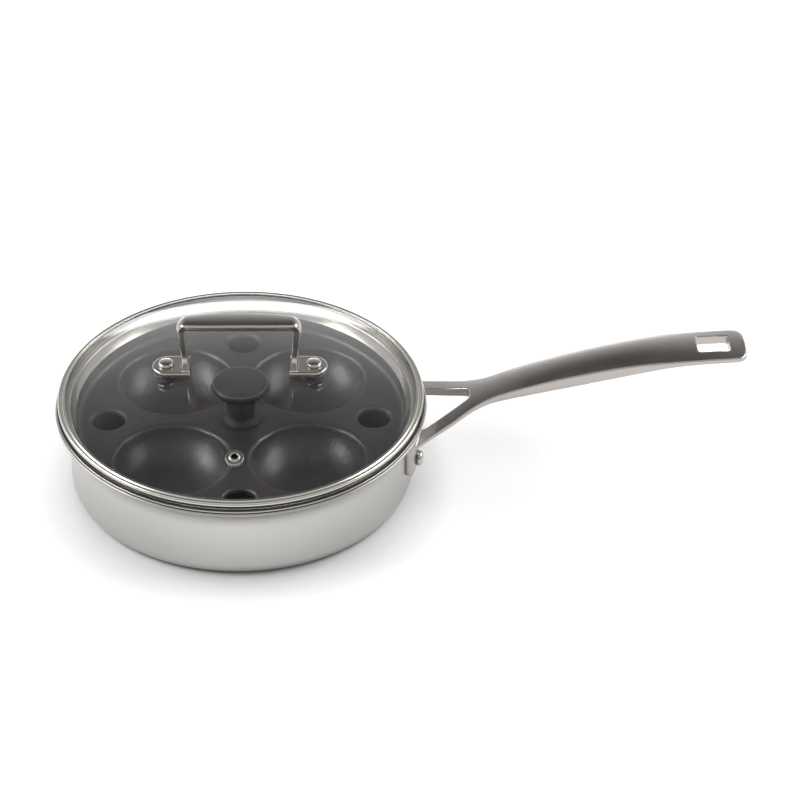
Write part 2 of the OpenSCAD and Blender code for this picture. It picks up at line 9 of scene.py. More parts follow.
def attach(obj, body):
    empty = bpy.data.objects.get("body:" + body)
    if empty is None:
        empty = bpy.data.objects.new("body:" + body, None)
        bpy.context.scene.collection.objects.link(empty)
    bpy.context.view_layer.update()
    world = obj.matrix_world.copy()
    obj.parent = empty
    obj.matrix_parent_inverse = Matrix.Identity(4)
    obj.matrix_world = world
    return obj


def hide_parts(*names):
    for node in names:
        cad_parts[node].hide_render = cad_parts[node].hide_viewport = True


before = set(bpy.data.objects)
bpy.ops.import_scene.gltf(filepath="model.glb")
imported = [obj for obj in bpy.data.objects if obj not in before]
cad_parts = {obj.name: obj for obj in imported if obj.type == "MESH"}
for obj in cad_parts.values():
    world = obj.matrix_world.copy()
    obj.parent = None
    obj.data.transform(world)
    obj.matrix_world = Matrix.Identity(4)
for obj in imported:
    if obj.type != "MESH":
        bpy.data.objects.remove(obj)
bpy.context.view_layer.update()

# Sizes of the pieces are in millimetres here and become metres when a mesh is made
MM = 0.001

# Pan
PAN_R = 97.3
PAN_WALL = 1.3
PAN_BASE = 3.2
PAN_CORNER_R = 8.0
FLARE_Z = 34.3
FLARE_R = 16.1
FLARE_TURN = 59.0
FLARE_CENTRE = (PAN_R + FLARE_R, FLARE_Z)
RIM_ANGLE = 180 - FLARE_TURN

# Tray
TRAY_SHEET = 1.0
TRAY_DROP = 12.2
CUPS = 4
CUP_GAP = 6.1
CUP_EDGE_GAP = 0.7
CUP_DEPTH = 18.5
CUP_LIP_R = 3.5
CUP_FLAT_R = 7.0
STEAM_HOLE_R = 9.0
STEAM_HOLE_EDGE_GAP = 2.9
STEAM_HOLE_LIP = 2.2
KNOB_R = 16.5
KNOB_H = 24.5
TRAY_TURN = -4.6

# Lid
GLASS_T = 3.6
DOME_RISE = 18.8
BEAD_R = 1.4
VENT_INSET = 27.9
LID_ANGLE = -5.3
BAR_W = 70.0
BAR_D = 13.0
BAR_T = 4.6
BAR_H = 31.5
SCREW_OUT = 9.1

# Long handle
HANDLE_REACH = 189.7
FORK_L = 42.6
PAD_ANGLE = 15.0
PAD_W = 25.0
PAD_H = 21.8
PAD_T = 4.2
GRIP_RISE = 37.4
GRIP_HALF_W = 14.5
GRIP_T = 12.8
SLOT_L = 18.6
SLOT_W = 15.0
SLOT_CORNER_R = 2.0
SLOT_INSET = 9.0
RIVET_R = 2.6
RIVET_HEAD_R = 4.5

# Clearances of the seats and fits
SEAT_GAP = 0.35
SLIP = 0.05

# Whole turns are cut into this many steps
FINE_TURN = 256
CUTTER_TURN = 192
CUP_TURN = 128
SMALL_TURN = 96
STEAM_HOLE_TURN = 72
GASKET_TURN = 72
FITTING_HOLE_TURN = 40


def cosd(angle):
    return math.cos(math.radians(angle))


def sind(angle):
    return math.sin(math.radians(angle))


def on_circle(centre, radius, angle):
    return (centre[0] + radius * cosd(angle), centre[1] + radius * sind(angle))


def arc(centre, radius, start, end, steps=12):
    return [on_circle(centre, radius, start + (end - start) * i / steps) for i in range(steps + 1)]


def softened(corners, loop=False, steps=5, hold=0.06):
    """Rounds the corners of a profile. A corner is (r, z) or (r, z, radius)."""
    rounded = []
    count = len(corners)
    for i, corner in enumerate(corners):
        radius = corner[2] if len(corner) > 2 else 0
        here = Vector(corner[:2])
        if radius == 0 or (not loop and i in (0, count - 1)):
            rounded.append(tuple(here))
            continue
        back = Vector(corners[i - 1][:2]) - here
        ahead = Vector(corners[(i + 1) % count][:2]) - here
        half = back.angle(ahead) / 2
        reach = radius / math.tan(half)
        start = here + back.normalized() * reach
        end = here + ahead.normalized() * reach
        middle = here + (back.normalized() + ahead.normalized()).normalized() * radius / math.sin(half)
        rounded.append(tuple(start + back.normalized() * hold))
        turn = (start - middle).angle_signed(end - middle)
        first = math.atan2(start.y - middle.y, start.x - middle.x)
        for k in range(steps + 1):
            angle = first - turn * k / steps
            rounded.append((middle.x + radius * math.cos(angle), middle.y + radius * math.sin(angle)))
        rounded.append(tuple(end + ahead.normalized() * hold))
    return rounded


class Shape:
    """Points, in millimetres, and faces with a material number each, of a piece that is being made."""

    def __init__(self):
        self.points = []
        self.faces = []
        self.finish = []

    def add_point(self, point):
        self.points.append(tuple(point))
        return len(self.points) - 1

    def add_face(self, corners, finish=0):
        if len(set(corners)) > 2:
            self.faces.append(list(corners))
            self.finish.append(finish)

    def turned(self, profile, place=None, steps=SMALL_TURN, loop=False, finish=None):
        """A profile of (r, z) points, turned round Z and then moved to its place."""
        place = place or Matrix.Identity(4)
        rings = []
        for r, z in profile:
            if r < 1e-6:
                rings.append([self.add_point(place @ Vector((0, 0, z)))] * steps)
            else:
                ring = [on_circle((0, 0), r, 360 * i / steps) for i in range(steps)]
                rings.append([self.add_point(place @ Vector((x, y, z))) for x, y in ring])
        if loop:
            rings.append(rings[0])
        for k in range(len(rings) - 1):
            low, high = rings[k], rings[k + 1]
            for i in range(steps):
                j = (i + 1) % steps
                corners = list(dict.fromkeys((low[i], low[j], high[j], high[i])))
                self.add_face(corners, finish(k) if finish else 0)
        return self

    def lofted(self, rings):
        """A skin through rings that have the same number of points, with both ends closed."""
        made = [[self.add_point(p) for p in ring] for ring in rings]
        for low, high in zip(made, made[1:]):
            for i in range(len(low)):
                j = (i + 1) % len(low)
                self.add_face((low[i], low[j], high[j], high[i]))
        self.add_face(made[0][::-1])
        self.add_face(made[-1])
        return self

    def mesh(self, name):
        """The mesh, in metres, with coinciding points joined and its faces turned outwards."""
        join = 0.002
        mesh = bpy.data.meshes.new(name)
        mesh.from_pydata([Vector(p) * MM for p in self.points], [], self.faces)
        mesh.polygons.foreach_set("material_index", self.finish)
        work = bmesh.new()
        work.from_mesh(mesh)
        bmesh.ops.remove_doubles(work, verts=work.verts, dist=join * MM)
        bmesh.ops.recalc_face_normals(work, faces=work.faces)
        work.to_mesh(mesh)
        work.free()
        return mesh


def new_object(name, data):
    made = bpy.data.objects.new(name, data)
    bpy.context.scene.collection.objects.link(made)
    return made


def piece(name, mesh, body, finishes, stands_for):
    """Puts a finished mesh in the scene: it rides on a body and stands for its nodes of the frame."""
    for finish in finishes:
        mesh.materials.append(finish)
    mesh.shade_smooth()
    made = new_object(name, mesh)
    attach(made, body)
    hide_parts(*stands_for)


def radial(angle, z):
    """A place on the pan's axis at this height, with its own Z pointing outwards at this angle."""
    turn = Matrix.Rotation(math.radians(angle), 4, "Z")
    return turn @ Matrix.Translation((0, 0, z)) @ Matrix.Rotation(math.radians(90), 4, "Y")


def helper(name, shape):
    """An unshown object for cutting or joining, which is removed when its work is done."""
    return new_object(name, shape.mesh(name))


def applied(made, name):
    """The mesh of an object with its modifiers applied. The object goes."""
    seen = made.evaluated_get(bpy.context.evaluated_depsgraph_get())
    mesh = bpy.data.meshes.new_from_object(seen)
    mesh.name = name
    bpy.data.objects.remove(made)
    return mesh


def combined(base, others, operation, name):
    """The base object with each of the others cut away, joined on or kept in common."""
    for other in others:
        step = base.modifiers.new("step", "BOOLEAN")
        step.operation = operation
        step.solver = "EXACT"
        step.object = other
    mesh = applied(base, name)
    for other in others:
        bpy.data.objects.remove(other)
    return new_object(name, mesh)


def cast(parts, name, grain, rounding):
    """Parts that meet, fused into one casting whose edges and inner corners are rounded over."""
    work = bmesh.new()
    for part in parts:
        work.from_mesh(part.data)
        bpy.data.objects.remove(part)
    mesh = bpy.data.meshes.new(name)
    work.to_mesh(mesh)
    work.free()
    made = new_object(name, mesh)
    fuse = made.modifiers.new("fuse", "REMESH")
    fuse.mode = "VOXEL"
    fuse.voxel_size = grain * MM
    ease = made.modifiers.new("ease", "SMOOTH")
    ease.factor = 0.5
    ease.iterations = rounding
    return applied(made, name)


def prism(outline, low, high):
    return Shape().lofted([[(x, y, low) for x, y in outline], [(x, y, high) for x, y in outline]])


# Node groups

def group_node(tree, kind, **values):
    node = tree.nodes.new(kind)
    for key, value in values.items():
        setattr(node, key, value)
    return node


def new_group(name, inputs, outputs):
    """A node group with named inputs, given as (name, value), and outputs, given as (name, kind)."""
    group = bpy.data.node_groups.new(name, "ShaderNodeTree")
    for label, value in inputs:
        socket = group.interface.new_socket(label, in_out="INPUT", socket_type="NodeSocketFloat")
        socket.default_value = value
    for label, kind in outputs:
        group.interface.new_socket(label, in_out="OUTPUT", socket_type=kind)
    return group, group.nodes.new("NodeGroupInput"), group.nodes.new("NodeGroupOutput")


def maths(tree, operation, first, second=None):
    node = group_node(tree, "ShaderNodeMath", operation=operation)
    for socket, value in zip(node.inputs, (first, second)):
        if value is None:
            continue
        if isinstance(value, (int, float)):
            socket.default_value = value
        else:
            tree.links.new(value, socket)
    return node.outputs[0]


def stretched(tree, low, high, value, new_low, new_high):
    """Carries a value from one range to another."""
    node = group_node(tree, "ShaderNodeMapRange")
    for socket, number in zip(node.inputs[1:5], (low, high, new_low, new_high)):
        if isinstance(number, (int, float)):
            socket.default_value = number
        else:
            tree.links.new(number, socket)
    tree.links.new(value, node.inputs[0])
    return node.outputs[0]


def place_of(tree):
    """The place of a point of the piece, in metres."""
    return group_node(tree, "ShaderNodeTexCoord").outputs["Object"]


def radius_and_height(tree):
    """How far a point is from the pan's axis, and how high."""
    split = group_node(tree, "ShaderNodeSeparateXYZ")
    tree.links.new(place_of(tree), split.inputs[0])
    across = maths(tree, "MULTIPLY", split.outputs[0], split.outputs[0])
    along = maths(tree, "MULTIPLY", split.outputs[1], split.outputs[1])
    return maths(tree, "SQRT", maths(tree, "ADD", across, along)), split.outputs[2]


def noise(tree, vector, scale, detail=2.0, roughness=0.5):
    node = group_node(tree, "ShaderNodeTexNoise")
    tree.links.new(vector, node.inputs["Vector"])
    if isinstance(scale, (int, float)):
        node.inputs["Scale"].default_value = scale
    else:
        tree.links.new(scale, node.inputs["Scale"])
    node.inputs["Detail"].default_value = detail
    node.inputs["Roughness"].default_value = roughness
    return node.outputs[0]


def turning_marks():
    """Fine rings that a polishing wheel leaves on a turned sheet."""
    group, inside, outside = new_group(
        "turning marks",
        [("Marks per Metre", 2600.0), ("Strength", 1.0)],
        [("Height", "NodeSocketFloat"), ("Tone", "NodeSocketFloat")],
    )
    radius, height = radius_and_height(group)
    line = group_node(group, "ShaderNodeCombineXYZ")
    group.links.new(radius, line.inputs[0])
    group.links.new(height, line.inputs[1])
    rings = noise(group, line.outputs[0], inside.outputs["Marks per Metre"], 3.0, 0.65)
    patches = noise(group, place_of(group), 60.0, 1.0)
    fade = stretched(group, 0.3, 0.7, patches, 0.6, 1.0)
    marks = maths(group, "MULTIPLY", maths(group, "SUBTRACT", rings, 0.5), fade)
    strong = maths(group, "MULTIPLY", marks, inside.outputs["Strength"])
    group.links.new(strong, outside.inputs["Height"])
    group.links.new(maths(group, "ADD", strong, 0.5), outside.inputs["Tone"])
    return group


def cast_skin():
    """The fine sandy skin of a blasted casting, with a soft unevenness under it."""
    group, inside, outside = new_group(
        "cast skin",
        [("Grains per Metre", 2400.0), ("Unevenness", 0.4)],
        [("Height", "NodeSocketFloat"), ("Tone", "NodeSocketFloat")],
    )
    where = place_of(group)
    grains = noise(group, where, inside.outputs["Grains per Metre"], 2.0, 0.6)
    waves = noise(group, where, 130.0, 1.0)
    wide = maths(group, "MULTIPLY", maths(group, "SUBTRACT", waves, 0.5), inside.outputs["Unevenness"])
    group.links.new(maths(group, "ADD", grains, wide), outside.inputs["Height"])
    group.links.new(maths(group, "ADD", maths(group, "MULTIPLY", grains, 0.5), waves), outside.inputs["Tone"])
    return group


def sprayed_coat():
    """The speckled, slightly pebbled face of a sprayed coating."""
    group, inside, outside = new_group(
        "sprayed coat",
        [("Specks per Metre", 900.0), ("Speck Share", 0.3)],
        [("Height", "NodeSocketFloat"), ("Specks", "NodeSocketFloat"), ("Cloud", "NodeSocketFloat")],
    )
    where = place_of(group)
    pebbles = noise(group, where, inside.outputs["Specks per Metre"], 1.0, 0.5)
    fine = noise(group, where, maths(group, "MULTIPLY", inside.outputs["Specks per Metre"], 2.3), 1.0)
    speck_level = maths(group, "SUBTRACT", 1.0, inside.outputs["Speck Share"])
    specks = stretched(group, speck_level, 1.0, fine, 0.0, 1.0)
    cloud = noise(group, where, 45.0, 2.0)
    fine_share = maths(group, "MULTIPLY", fine, 0.2)
    group.links.new(maths(group, "ADD", pebbles, fine_share), outside.inputs["Height"])
    group.links.new(specks, outside.inputs["Specks"])
    group.links.new(cloud, outside.inputs["Cloud"])
    return group


def handling_haze():
    """Faint soft patches where a polished face is a little duller."""
    group, inside, outside = new_group(
        "handling haze",
        [("Patches per Metre", 35.0), ("Low", 0.2), ("High", 0.3)],
        [("Roughness", "NodeSocketFloat")],
    )
    cloud = noise(group, place_of(group), inside.outputs["Patches per Metre"], 3.0, 0.6)
    rough = stretched(group, 0.3, 0.7, cloud, inside.outputs["Low"], inside.outputs["High"])
    group.links.new(rough, outside.inputs["Roughness"])
    return group


TURNING_MARKS = turning_marks()
CAST_SKIN = cast_skin()
SPRAYED_COAT = sprayed_coat()
HANDLING_HAZE = handling_haze()


def material(name):
    """A new material with its Principled shader."""
    made = bpy.data.materials.new(name)
    made.use_nodes = True
    return made, made.node_tree, made.node_tree.nodes["Principled BSDF"]


def placed_group(tree, group, **values):
    node = tree.nodes.new("ShaderNodeGroup")
    node.node_tree = group
    for label, value in values.items():
        node.inputs[label.replace("_", " ")].default_value = value
    return node


def bumped(tree, shader, height, strength, distance):
    bump = group_node(tree, "ShaderNodeBump")
    bump.inputs["Strength"].default_value = strength
    bump.inputs["Distance"].default_value = distance
    tree.links.new(height, bump.inputs["Height"])
    tree.links.new(bump.outputs[0], shader.inputs["Normal"])


def toned(tree, shader, factor, dark, light):
    """A base colour that runs between two tones of the same finish."""
    mix = group_node(tree, "ShaderNodeMix", data_type="RGBA")
    mix.inputs[6].default_value = (*dark, 1)
    mix.inputs[7].default_value = (*light, 1)
    tree.links.new(factor, mix.inputs[0])
    tree.links.new(mix.outputs[2], shader.inputs["Base Color"])


def turned_steel(name, dark, light, roughness, strength, marks):
    """Steel sheet, spun and brushed: fine rings, a soft haze and a warm grey tone."""
    made, tree, shader = material(name)
    rings = placed_group(tree, TURNING_MARKS, Marks_per_Metre=marks, Strength=1.0)
    haze = placed_group(tree, HANDLING_HAZE, Patches_per_Metre=30.0, Low=roughness[0], High=roughness[1])
    toned(tree, shader, rings.outputs["Tone"], dark, light)
    tree.links.new(haze.outputs["Roughness"], shader.inputs["Roughness"])
    shader.inputs["Metallic"].default_value = 1.0
    bumped(tree, shader, rings.outputs["Height"], strength, distance=0.00006)
    return made


def cast_steel(name, dark, light, roughness, strength):
    """Cast steel with a blasted satin skin."""
    made, tree, shader = material(name)
    skin = placed_group(tree, CAST_SKIN, Grains_per_Metre=2400.0, Unevenness=0.4)
    haze = placed_group(tree, HANDLING_HAZE, Patches_per_Metre=60.0, Low=roughness[0], High=roughness[1])
    toned(tree, shader, skin.outputs["Tone"], dark, light)
    tree.links.new(haze.outputs["Roughness"], shader.inputs["Roughness"])
    shader.inputs["Metallic"].default_value = 1.0
    bumped(tree, shader, skin.outputs["Height"], strength, distance=0.00005)
    return made


def coated(name, dark, light, roughness, specks, strength, distance):
    """Dark non-stick coating: a soft sheen broken up by its own pebbled face."""
    made, tree, shader = material(name)
    coat = placed_group(tree, SPRAYED_COAT, Specks_per_Metre=specks, Speck_Share=0.38)
    toned(tree, shader, coat.outputs["Specks"], dark, light)
    rough = stretched(tree, 0.3, 0.7, coat.outputs["Cloud"], *roughness)
    tree.links.new(rough, shader.inputs["Roughness"])
    bumped(tree, shader, coat.outputs["Height"], strength, distance)
    return made


def clear_glass(name):
    """Toughened glass that lets light through to the tray."""
    made, tree, shader = material(name)
    shader.inputs["Base Color"].default_value = (0.95, 0.95, 0.945, 1)
    shader.inputs["Transmission Weight"].default_value = 1.0
    shader.inputs["IOR"].default_value = 1.5
    haze = placed_group(tree, HANDLING_HAZE, Patches_per_Metre=40.0, Low=0.0, High=0.012)
    tree.links.new(haze.outputs["Roughness"], shader.inputs["Roughness"])
    out = tree.nodes["Material Output"]
    path = group_node(tree, "ShaderNodeLightPath")
    through = group_node(tree, "ShaderNodeBsdfTransparent")
    through.inputs[0].default_value = (0.92, 0.92, 0.915, 1)
    diffuse = group_node(tree, "ShaderNodeMixShader")
    shadow = group_node(tree, "ShaderNodeMixShader")
    tree.links.new(path.outputs["Is Diffuse Ray"], diffuse.inputs[0])
    tree.links.new(shader.outputs[0], diffuse.inputs[1])
    tree.links.new(through.outputs[0], diffuse.inputs[2])
    tree.links.new(path.outputs["Is Shadow Ray"], shadow.inputs[0])
    tree.links.new(diffuse.outputs[0], shadow.inputs[1])
    tree.links.new(through.outputs[0], shadow.inputs[2])
    tree.links.new(shadow.outputs[0], out.inputs["Surface"])
    return made


def moulded_rubber(name):
    """Grey silicone with a faint moulded bloom."""
    made, tree, shader = material(name)
    skin = placed_group(tree, CAST_SKIN, Grains_per_Metre=1500.0, Unevenness=0.6)
    toned(tree, shader, skin.outputs["Tone"], (0.075, 0.075, 0.08), (0.1, 0.1, 0.105))
    haze = placed_group(tree, HANDLING_HAZE, Patches_per_Metre=80.0, Low=0.42, High=0.55)
    tree.links.new(haze.outputs["Roughness"], shader.inputs["Roughness"])
    bumped(tree, shader, skin.outputs["Height"], strength=0.3, distance=0.00004)
    return made


# Each finish has its dark and light tone, its range of roughness, and the strength and grain of its relief
PAN_STEEL = turned_steel(
    "pan_satin_steel", (0.51, 0.503, 0.488), (0.56, 0.552, 0.536),
    roughness=(0.27, 0.34), strength=0.08, marks=2600.0,
)
RIM_STEEL = turned_steel(
    "rim_polished_steel", (0.55, 0.54, 0.50), (0.61, 0.60, 0.555),
    roughness=(0.22, 0.28), strength=0.08, marks=3400.0,
)
FLANGE_STEEL = turned_steel(
    "tray_flange_steel", (0.40, 0.385, 0.35), (0.48, 0.465, 0.425),
    roughness=(0.18, 0.26), strength=0.3, marks=3000.0,
)
RIVET_STEEL = turned_steel(
    "rivet_polished_steel", (0.50, 0.485, 0.465), (0.56, 0.545, 0.525),
    roughness=(0.16, 0.24), strength=0.1, marks=3400.0,
)
# Dark steel for the inside of the vent's hole: painted shade in the bore
BORE_STEEL_PAINTED_SHADE = turned_steel(
    "vent_bore_dull_steel_painted_shade", (0.09, 0.085, 0.08), (0.14, 0.135, 0.13),
    roughness=(0.4, 0.5), strength=0.3, marks=2600.0,
)
HANDLE_STEEL = cast_steel(
    "handle_cast_steel", (0.44, 0.412, 0.39), (0.47, 0.442, 0.42), roughness=(0.23, 0.28), strength=0.12,
)
LID_HANDLE_STEEL = cast_steel(
    "lid_handle_cast_steel", (0.43, 0.405, 0.38), (0.47, 0.443, 0.418), roughness=(0.14, 0.19), strength=0.1,
)
# The plate's own dark coating, also put on the flange's top under the lid's bead as painted shade
TRAY_COAT_AND_PAINTED_SHADE = coated(
    "tray_dark_coating_and_painted_shade", (0.034, 0.029, 0.031), (0.068, 0.060, 0.063),
    roughness=(0.34, 0.38), specks=850.0, strength=0.6, distance=0.0002,
)
KNOB_COAT = coated(
    "knob_satin_plastic", (0.034, 0.031, 0.032), (0.042, 0.038, 0.039),
    roughness=(0.28, 0.34), specks=1800.0, strength=0.2, distance=0.0001,
)
# A darker copy of the knob's plastic for the stem under the disc: painted shade
STEM_COAT_PAINTED_SHADE = coated(
    "knob_stem_plastic_painted_shade", (0.008, 0.0075, 0.0075), (0.012, 0.011, 0.011),
    roughness=(0.55, 0.65), specks=1800.0, strength=0.2, distance=0.0001,
)
# A lighter copy of the knob's coat for the disc's upper edge: a painted highlight
KNOB_EDGE_PAINTED_HIGHLIGHT = coated(
    "knob_edge_painted_highlight", (0.12, 0.115, 0.116), (0.17, 0.162, 0.163),
    roughness=(0.3, 0.4), specks=1800.0, strength=0.2, distance=0.0001,
)
LID_GLASS = clear_glass("lid_clear_glass")
SILICONE = moulded_rubber("grey_silicone")


# Pan

def rim_point(radius, angle):
    return on_circle(FLARE_CENTRE, radius, angle)


RIM_TOP = rim_point(FLARE_R + PAN_WALL, RIM_ANGLE)


def make_pan():
    """Pan: one pressing with a flat base, a straight wall and a flared rim with rounded edges."""
    inner_corner_r = PAN_CORNER_R - 2.5
    edge = 0.35
    edge_turn = math.degrees(edge / FLARE_R)
    lip = softened([
        rim_point(FLARE_R, RIM_ANGLE + 3 * edge_turn),
        (*rim_point(FLARE_R, RIM_ANGLE), edge),
        (*rim_point(FLARE_R + PAN_WALL, RIM_ANGLE), edge),
        rim_point(FLARE_R + PAN_WALL, RIM_ANGLE + 3 * edge_turn),
    ])
    profile = (
        [(0, 0), (PAN_R - PAN_CORNER_R - 0.5, 0)]
        + arc((PAN_R - PAN_CORNER_R, PAN_CORNER_R), PAN_CORNER_R, -90, 0, 14)
        + [(PAN_R, FLARE_Z - 0.4)]
        + arc(FLARE_CENTRE, FLARE_R, 180, RIM_ANGLE + 3 * edge_turn, 20)[:-1]
        + lip
        + arc(FLARE_CENTRE, FLARE_R + PAN_WALL, RIM_ANGLE + 3 * edge_turn, 180, 20)[1:]
        + arc((PAN_R - PAN_WALL - inner_corner_r, PAN_BASE + inner_corner_r), inner_corner_r, 0, -90, 10)
        + [(0, PAN_BASE)]
    )
    mesh = Shape().turned(profile, steps=FINE_TURN).mesh("pan")
    piece("pan", mesh, "pan", [PAN_STEEL], ["pan_shell"])


# Long handle

# Each station: share of the fork's length, share of the grip's length, share of the rise, share of
# the fork's half width, share of the grip's half width, share of the grip's thickness, crown in mm
STATIONS = [
    (-0.133, 0, 0, 1, 0, 0.43, 1.3),
    (0.155, 0, 0.106, 0.81, 0, 0.43, 1.4),
    (0.487, 0, 0.223, 0.469, 0.3, 0.44, 1.4),
    (0.766, 0, 0.333, 0.163, 0.58, 0.47, 1.3),
    (1, 0, 0.427, 0.012, 0.73, 0.55, 1.2),
    (1, 0.069, 0.524, 0, 0.752, 0.68, 1.3),
    (1, 0.145, 0.622, 0, 0.79, 0.81, 1.6),
    (1, 0.247, 0.738, 0, 0.834, 0.94, 2),
    (1, 0.357, 0.84, 0, 0.886, 1, 2.3),
    (1, 0.473, 0.924, 0, 0.924, 0.98, 2.4),
    (1, 0.589, 0.98, 0, 0.962, 0.86, 2.3),
    (1, 0.699, 1, 0, 0.997, 0.63, 2),
    (1, 0.809, 1, 0, 1, 0.51, 1.6),
    (1, 0.904, 0.995, 0, 1, 0.47, 1.3),
    (1, 0.959, 0.989, 0, 0.993, 0.46, 1.1),
    (1, 1, 0.987, 0, 0.986, 0.45, 1),
]
STATION_X = [PAN_R + FORK_L * s[0] + (HANDLE_REACH - FORK_L) * s[1] for s in STATIONS]
ROOT_Z = FLARE_Z + 0.7
TIP_X = PAN_R + HANDLE_REACH
TIP_CORNER_R = 6.0
FORK_HALF_W = PAN_R * sind(PAD_ANGLE) + PAD_W / 2 - 2.8
PAD_TOP_Z = FLARE_Z + 4.2
PAD_LOW_Z = PAD_TOP_Z - PAD_H
PAD_OUT_R = PAN_R + PAD_T
PAD_CORNER_R = 4.5
PAD_FACE_R = 30.0
PAD_TAPER = 1.6
RIVET_Z = PAD_LOW_Z + 6.3


def along(x, column):
    """Smooth value of one column of the stations at x."""
    last = len(STATIONS) - 1
    i = 0
    while i < last - 1 and x >= STATION_X[i + 1]:
        i += 1

    def slope(k):
        before, after = max(k - 1, 0), min(k + 1, last)
        rise = STATIONS[after][column] - STATIONS[before][column]
        return rise / (STATION_X[after] - STATION_X[before])

    step = STATION_X[i + 1] - STATION_X[i]
    t = (x - STATION_X[i]) / step
    start = (2 * t ** 3 - 3 * t ** 2 + 1) * STATIONS[i][column] + (t ** 3 - 2 * t ** 2 + t) * step * slope(i)
    end = (3 * t ** 2 - 2 * t ** 3) * STATIONS[i + 1][column] + (t ** 3 - t ** 2) * step * slope(i + 1)
    return start + end


def half_width(x):
    wide = FORK_HALF_W * along(x, 3) + GRIP_HALF_W * along(x, 4)
    into_tip = x - TIP_X + TIP_CORNER_R
    if into_tip > 0:
        wide -= TIP_CORNER_R - math.sqrt(max(0, TIP_CORNER_R ** 2 - into_tip ** 2))
    return wide


def handle_section(x):
    """Crowned top, rounded edges, short sides and a rounded underside."""
    edge_r = 0.7
    side_share = 0.3
    under_power = 0.6
    w = half_width(x)
    thick = GRIP_T * along(x, 5)
    crown = along(x, 6)
    z = ROOT_Z + GRIP_RISE * along(x, 2)
    low = z - crown - edge_r
    side = side_share * thick
    belly = thick - crown - edge_r - side
    ring = []
    for i in range(21):
        u = 1 - i / 10
        ring.append((x, u * (w - edge_r), z - crown * u * u))
    for angle in (105, 120, 135, 150, 165, 180):
        ring.append((x, -w + edge_r + edge_r * cosd(angle), low + edge_r * sind(angle)))
    for i in range(31):
        angle = 6 * i
        across = math.copysign(abs(cosd(angle)) ** under_power, cosd(angle)) if 0 < i < 30 else cosd(angle)
        ring.append((x, -w * across, low - side - belly * sind(angle)))
    for angle in (0, 15, 30, 45, 60, 75):
        ring.append((x, w - edge_r + edge_r * cosd(angle), low + edge_r * sind(angle)))
    return ring


def rounded_outline(length, width, radius):
    """A rectangle with rounded corners, round the origin."""
    steps = 8
    corners = [(1, 1, 0), (-1, 1, 90), (-1, -1, 180), (1, -1, 270)]
    outline = []
    for sx, sy, start in corners:
        centre = (sx * (length / 2 - radius), sy * (width / 2 - radius))
        outline += arc(centre, radius, start, start + 90, steps)
    return outline


def fork_window():
    """The opening between the legs of the fork, seen from above."""
    apex_r, root_r = 3.5, 5.0
    apex_x, root_x = PAN_R + FORK_L - 13.7, PAN_R + 4.6
    leg_apex_w, leg_root_w = 10.4, 10.2
    points = []
    for side in (-1, 1):
        points += arc((apex_x, side * (half_width(apex_x) - leg_apex_w - apex_r)), apex_r, 0, 352, 44)
        points += arc((root_x, side * (half_width(root_x) - leg_root_w - root_r)), root_r, 0, 352, 44)
    return [points[i] for i in convex_hull_2d([Vector(p) for p in points])]


def handle_pad(angle):
    """A pad that lies on the wall and on the start of the flare."""
    turn = math.degrees(math.asin(PAD_W / PAN_R))
    over = math.degrees(math.asin((PAD_TOP_Z + 1 - FLARE_Z) / FLARE_R))
    profile = (
        [(PAN_R + SLIP, PAD_LOW_Z - 1)]
        + arc(FLARE_CENTRE, FLARE_R - SLIP, 180, 180 - over, 12)
        + [(PAD_OUT_R, PAD_TOP_Z + 1), (PAD_OUT_R, RIVET_Z - 3), (PAD_OUT_R - PAD_TAPER, PAD_LOW_Z - 1)]
    )
    rings = []
    for i in range(49):
        at = angle - turn + 2 * turn * i / 48
        rings.append([(r * cosd(at), r * sind(at), z) for r, z in profile])
    wedge = helper("pad", Shape().lofted(rings))
    outline = rounded_outline(PAD_H, PAD_W, PAD_CORNER_R)
    face = radial(angle, PAD_TOP_Z - PAD_H / 2)
    depths = (PAN_R - 6, PAN_R + PAD_T + 8)
    block = Shape().lofted([[face @ Vector((x, y, r)) for x, y in outline] for r in depths])
    middle = on_circle((0, 0), PAD_OUT_R - PAD_FACE_R, angle)
    ends = [(0, PAD_LOW_Z - 2), (PAD_FACE_R, PAD_LOW_Z - 2), (PAD_FACE_R, PAD_TOP_Z + 2), (0, PAD_TOP_Z + 2)]
    drum = Shape().turned(ends, Matrix.Translation((*middle, 0)), steps=CUTTER_TURN)
    return combined(wedge, [helper("pad outline", block), helper("pad face", drum)], "INTERSECT", "pad")


def make_long_handle():
    """Long handle: a forked casting, lofted through its stations, with its window, slot and pads."""
    steps = 150
    start = PAN_R - 5.5
    shares = []
    for i in range(steps + 1):
        t = i / steps
        shares.append(t if t < 0.9 else 1 - 10 * (1 - t) ** 2)
    body = helper("grip", Shape().lofted([handle_section(start + (TIP_X - start) * t) for t in shares]))
    root_r = PAN_R + 2.2
    slot_x = TIP_X - SLOT_INSET - SLOT_L / 2
    slot = [(slot_x + x, y) for x, y in rounded_outline(SLOT_L, SLOT_W, SLOT_CORNER_R)]
    cutters = [
        helper("root", Shape().turned([(0, 0), (root_r, 0), (root_r, 80), (0, 80)], steps=CUTTER_TURN)),
        helper("window", prism(fork_window(), low=5, high=80)),
        helper("slot", prism(slot, low=40, high=95)),
    ]
    body = combined(body, cutters, "DIFFERENCE", "grip")
    pads = [handle_pad(angle) for angle in (-PAD_ANGLE, PAD_ANGLE)]
    mesh = cast([body, *pads], "long_handle_cast", grain=0.42, rounding=5)
    piece("long_handle_cast", mesh, "pan", [HANDLE_STEEL], ["long_handle"])


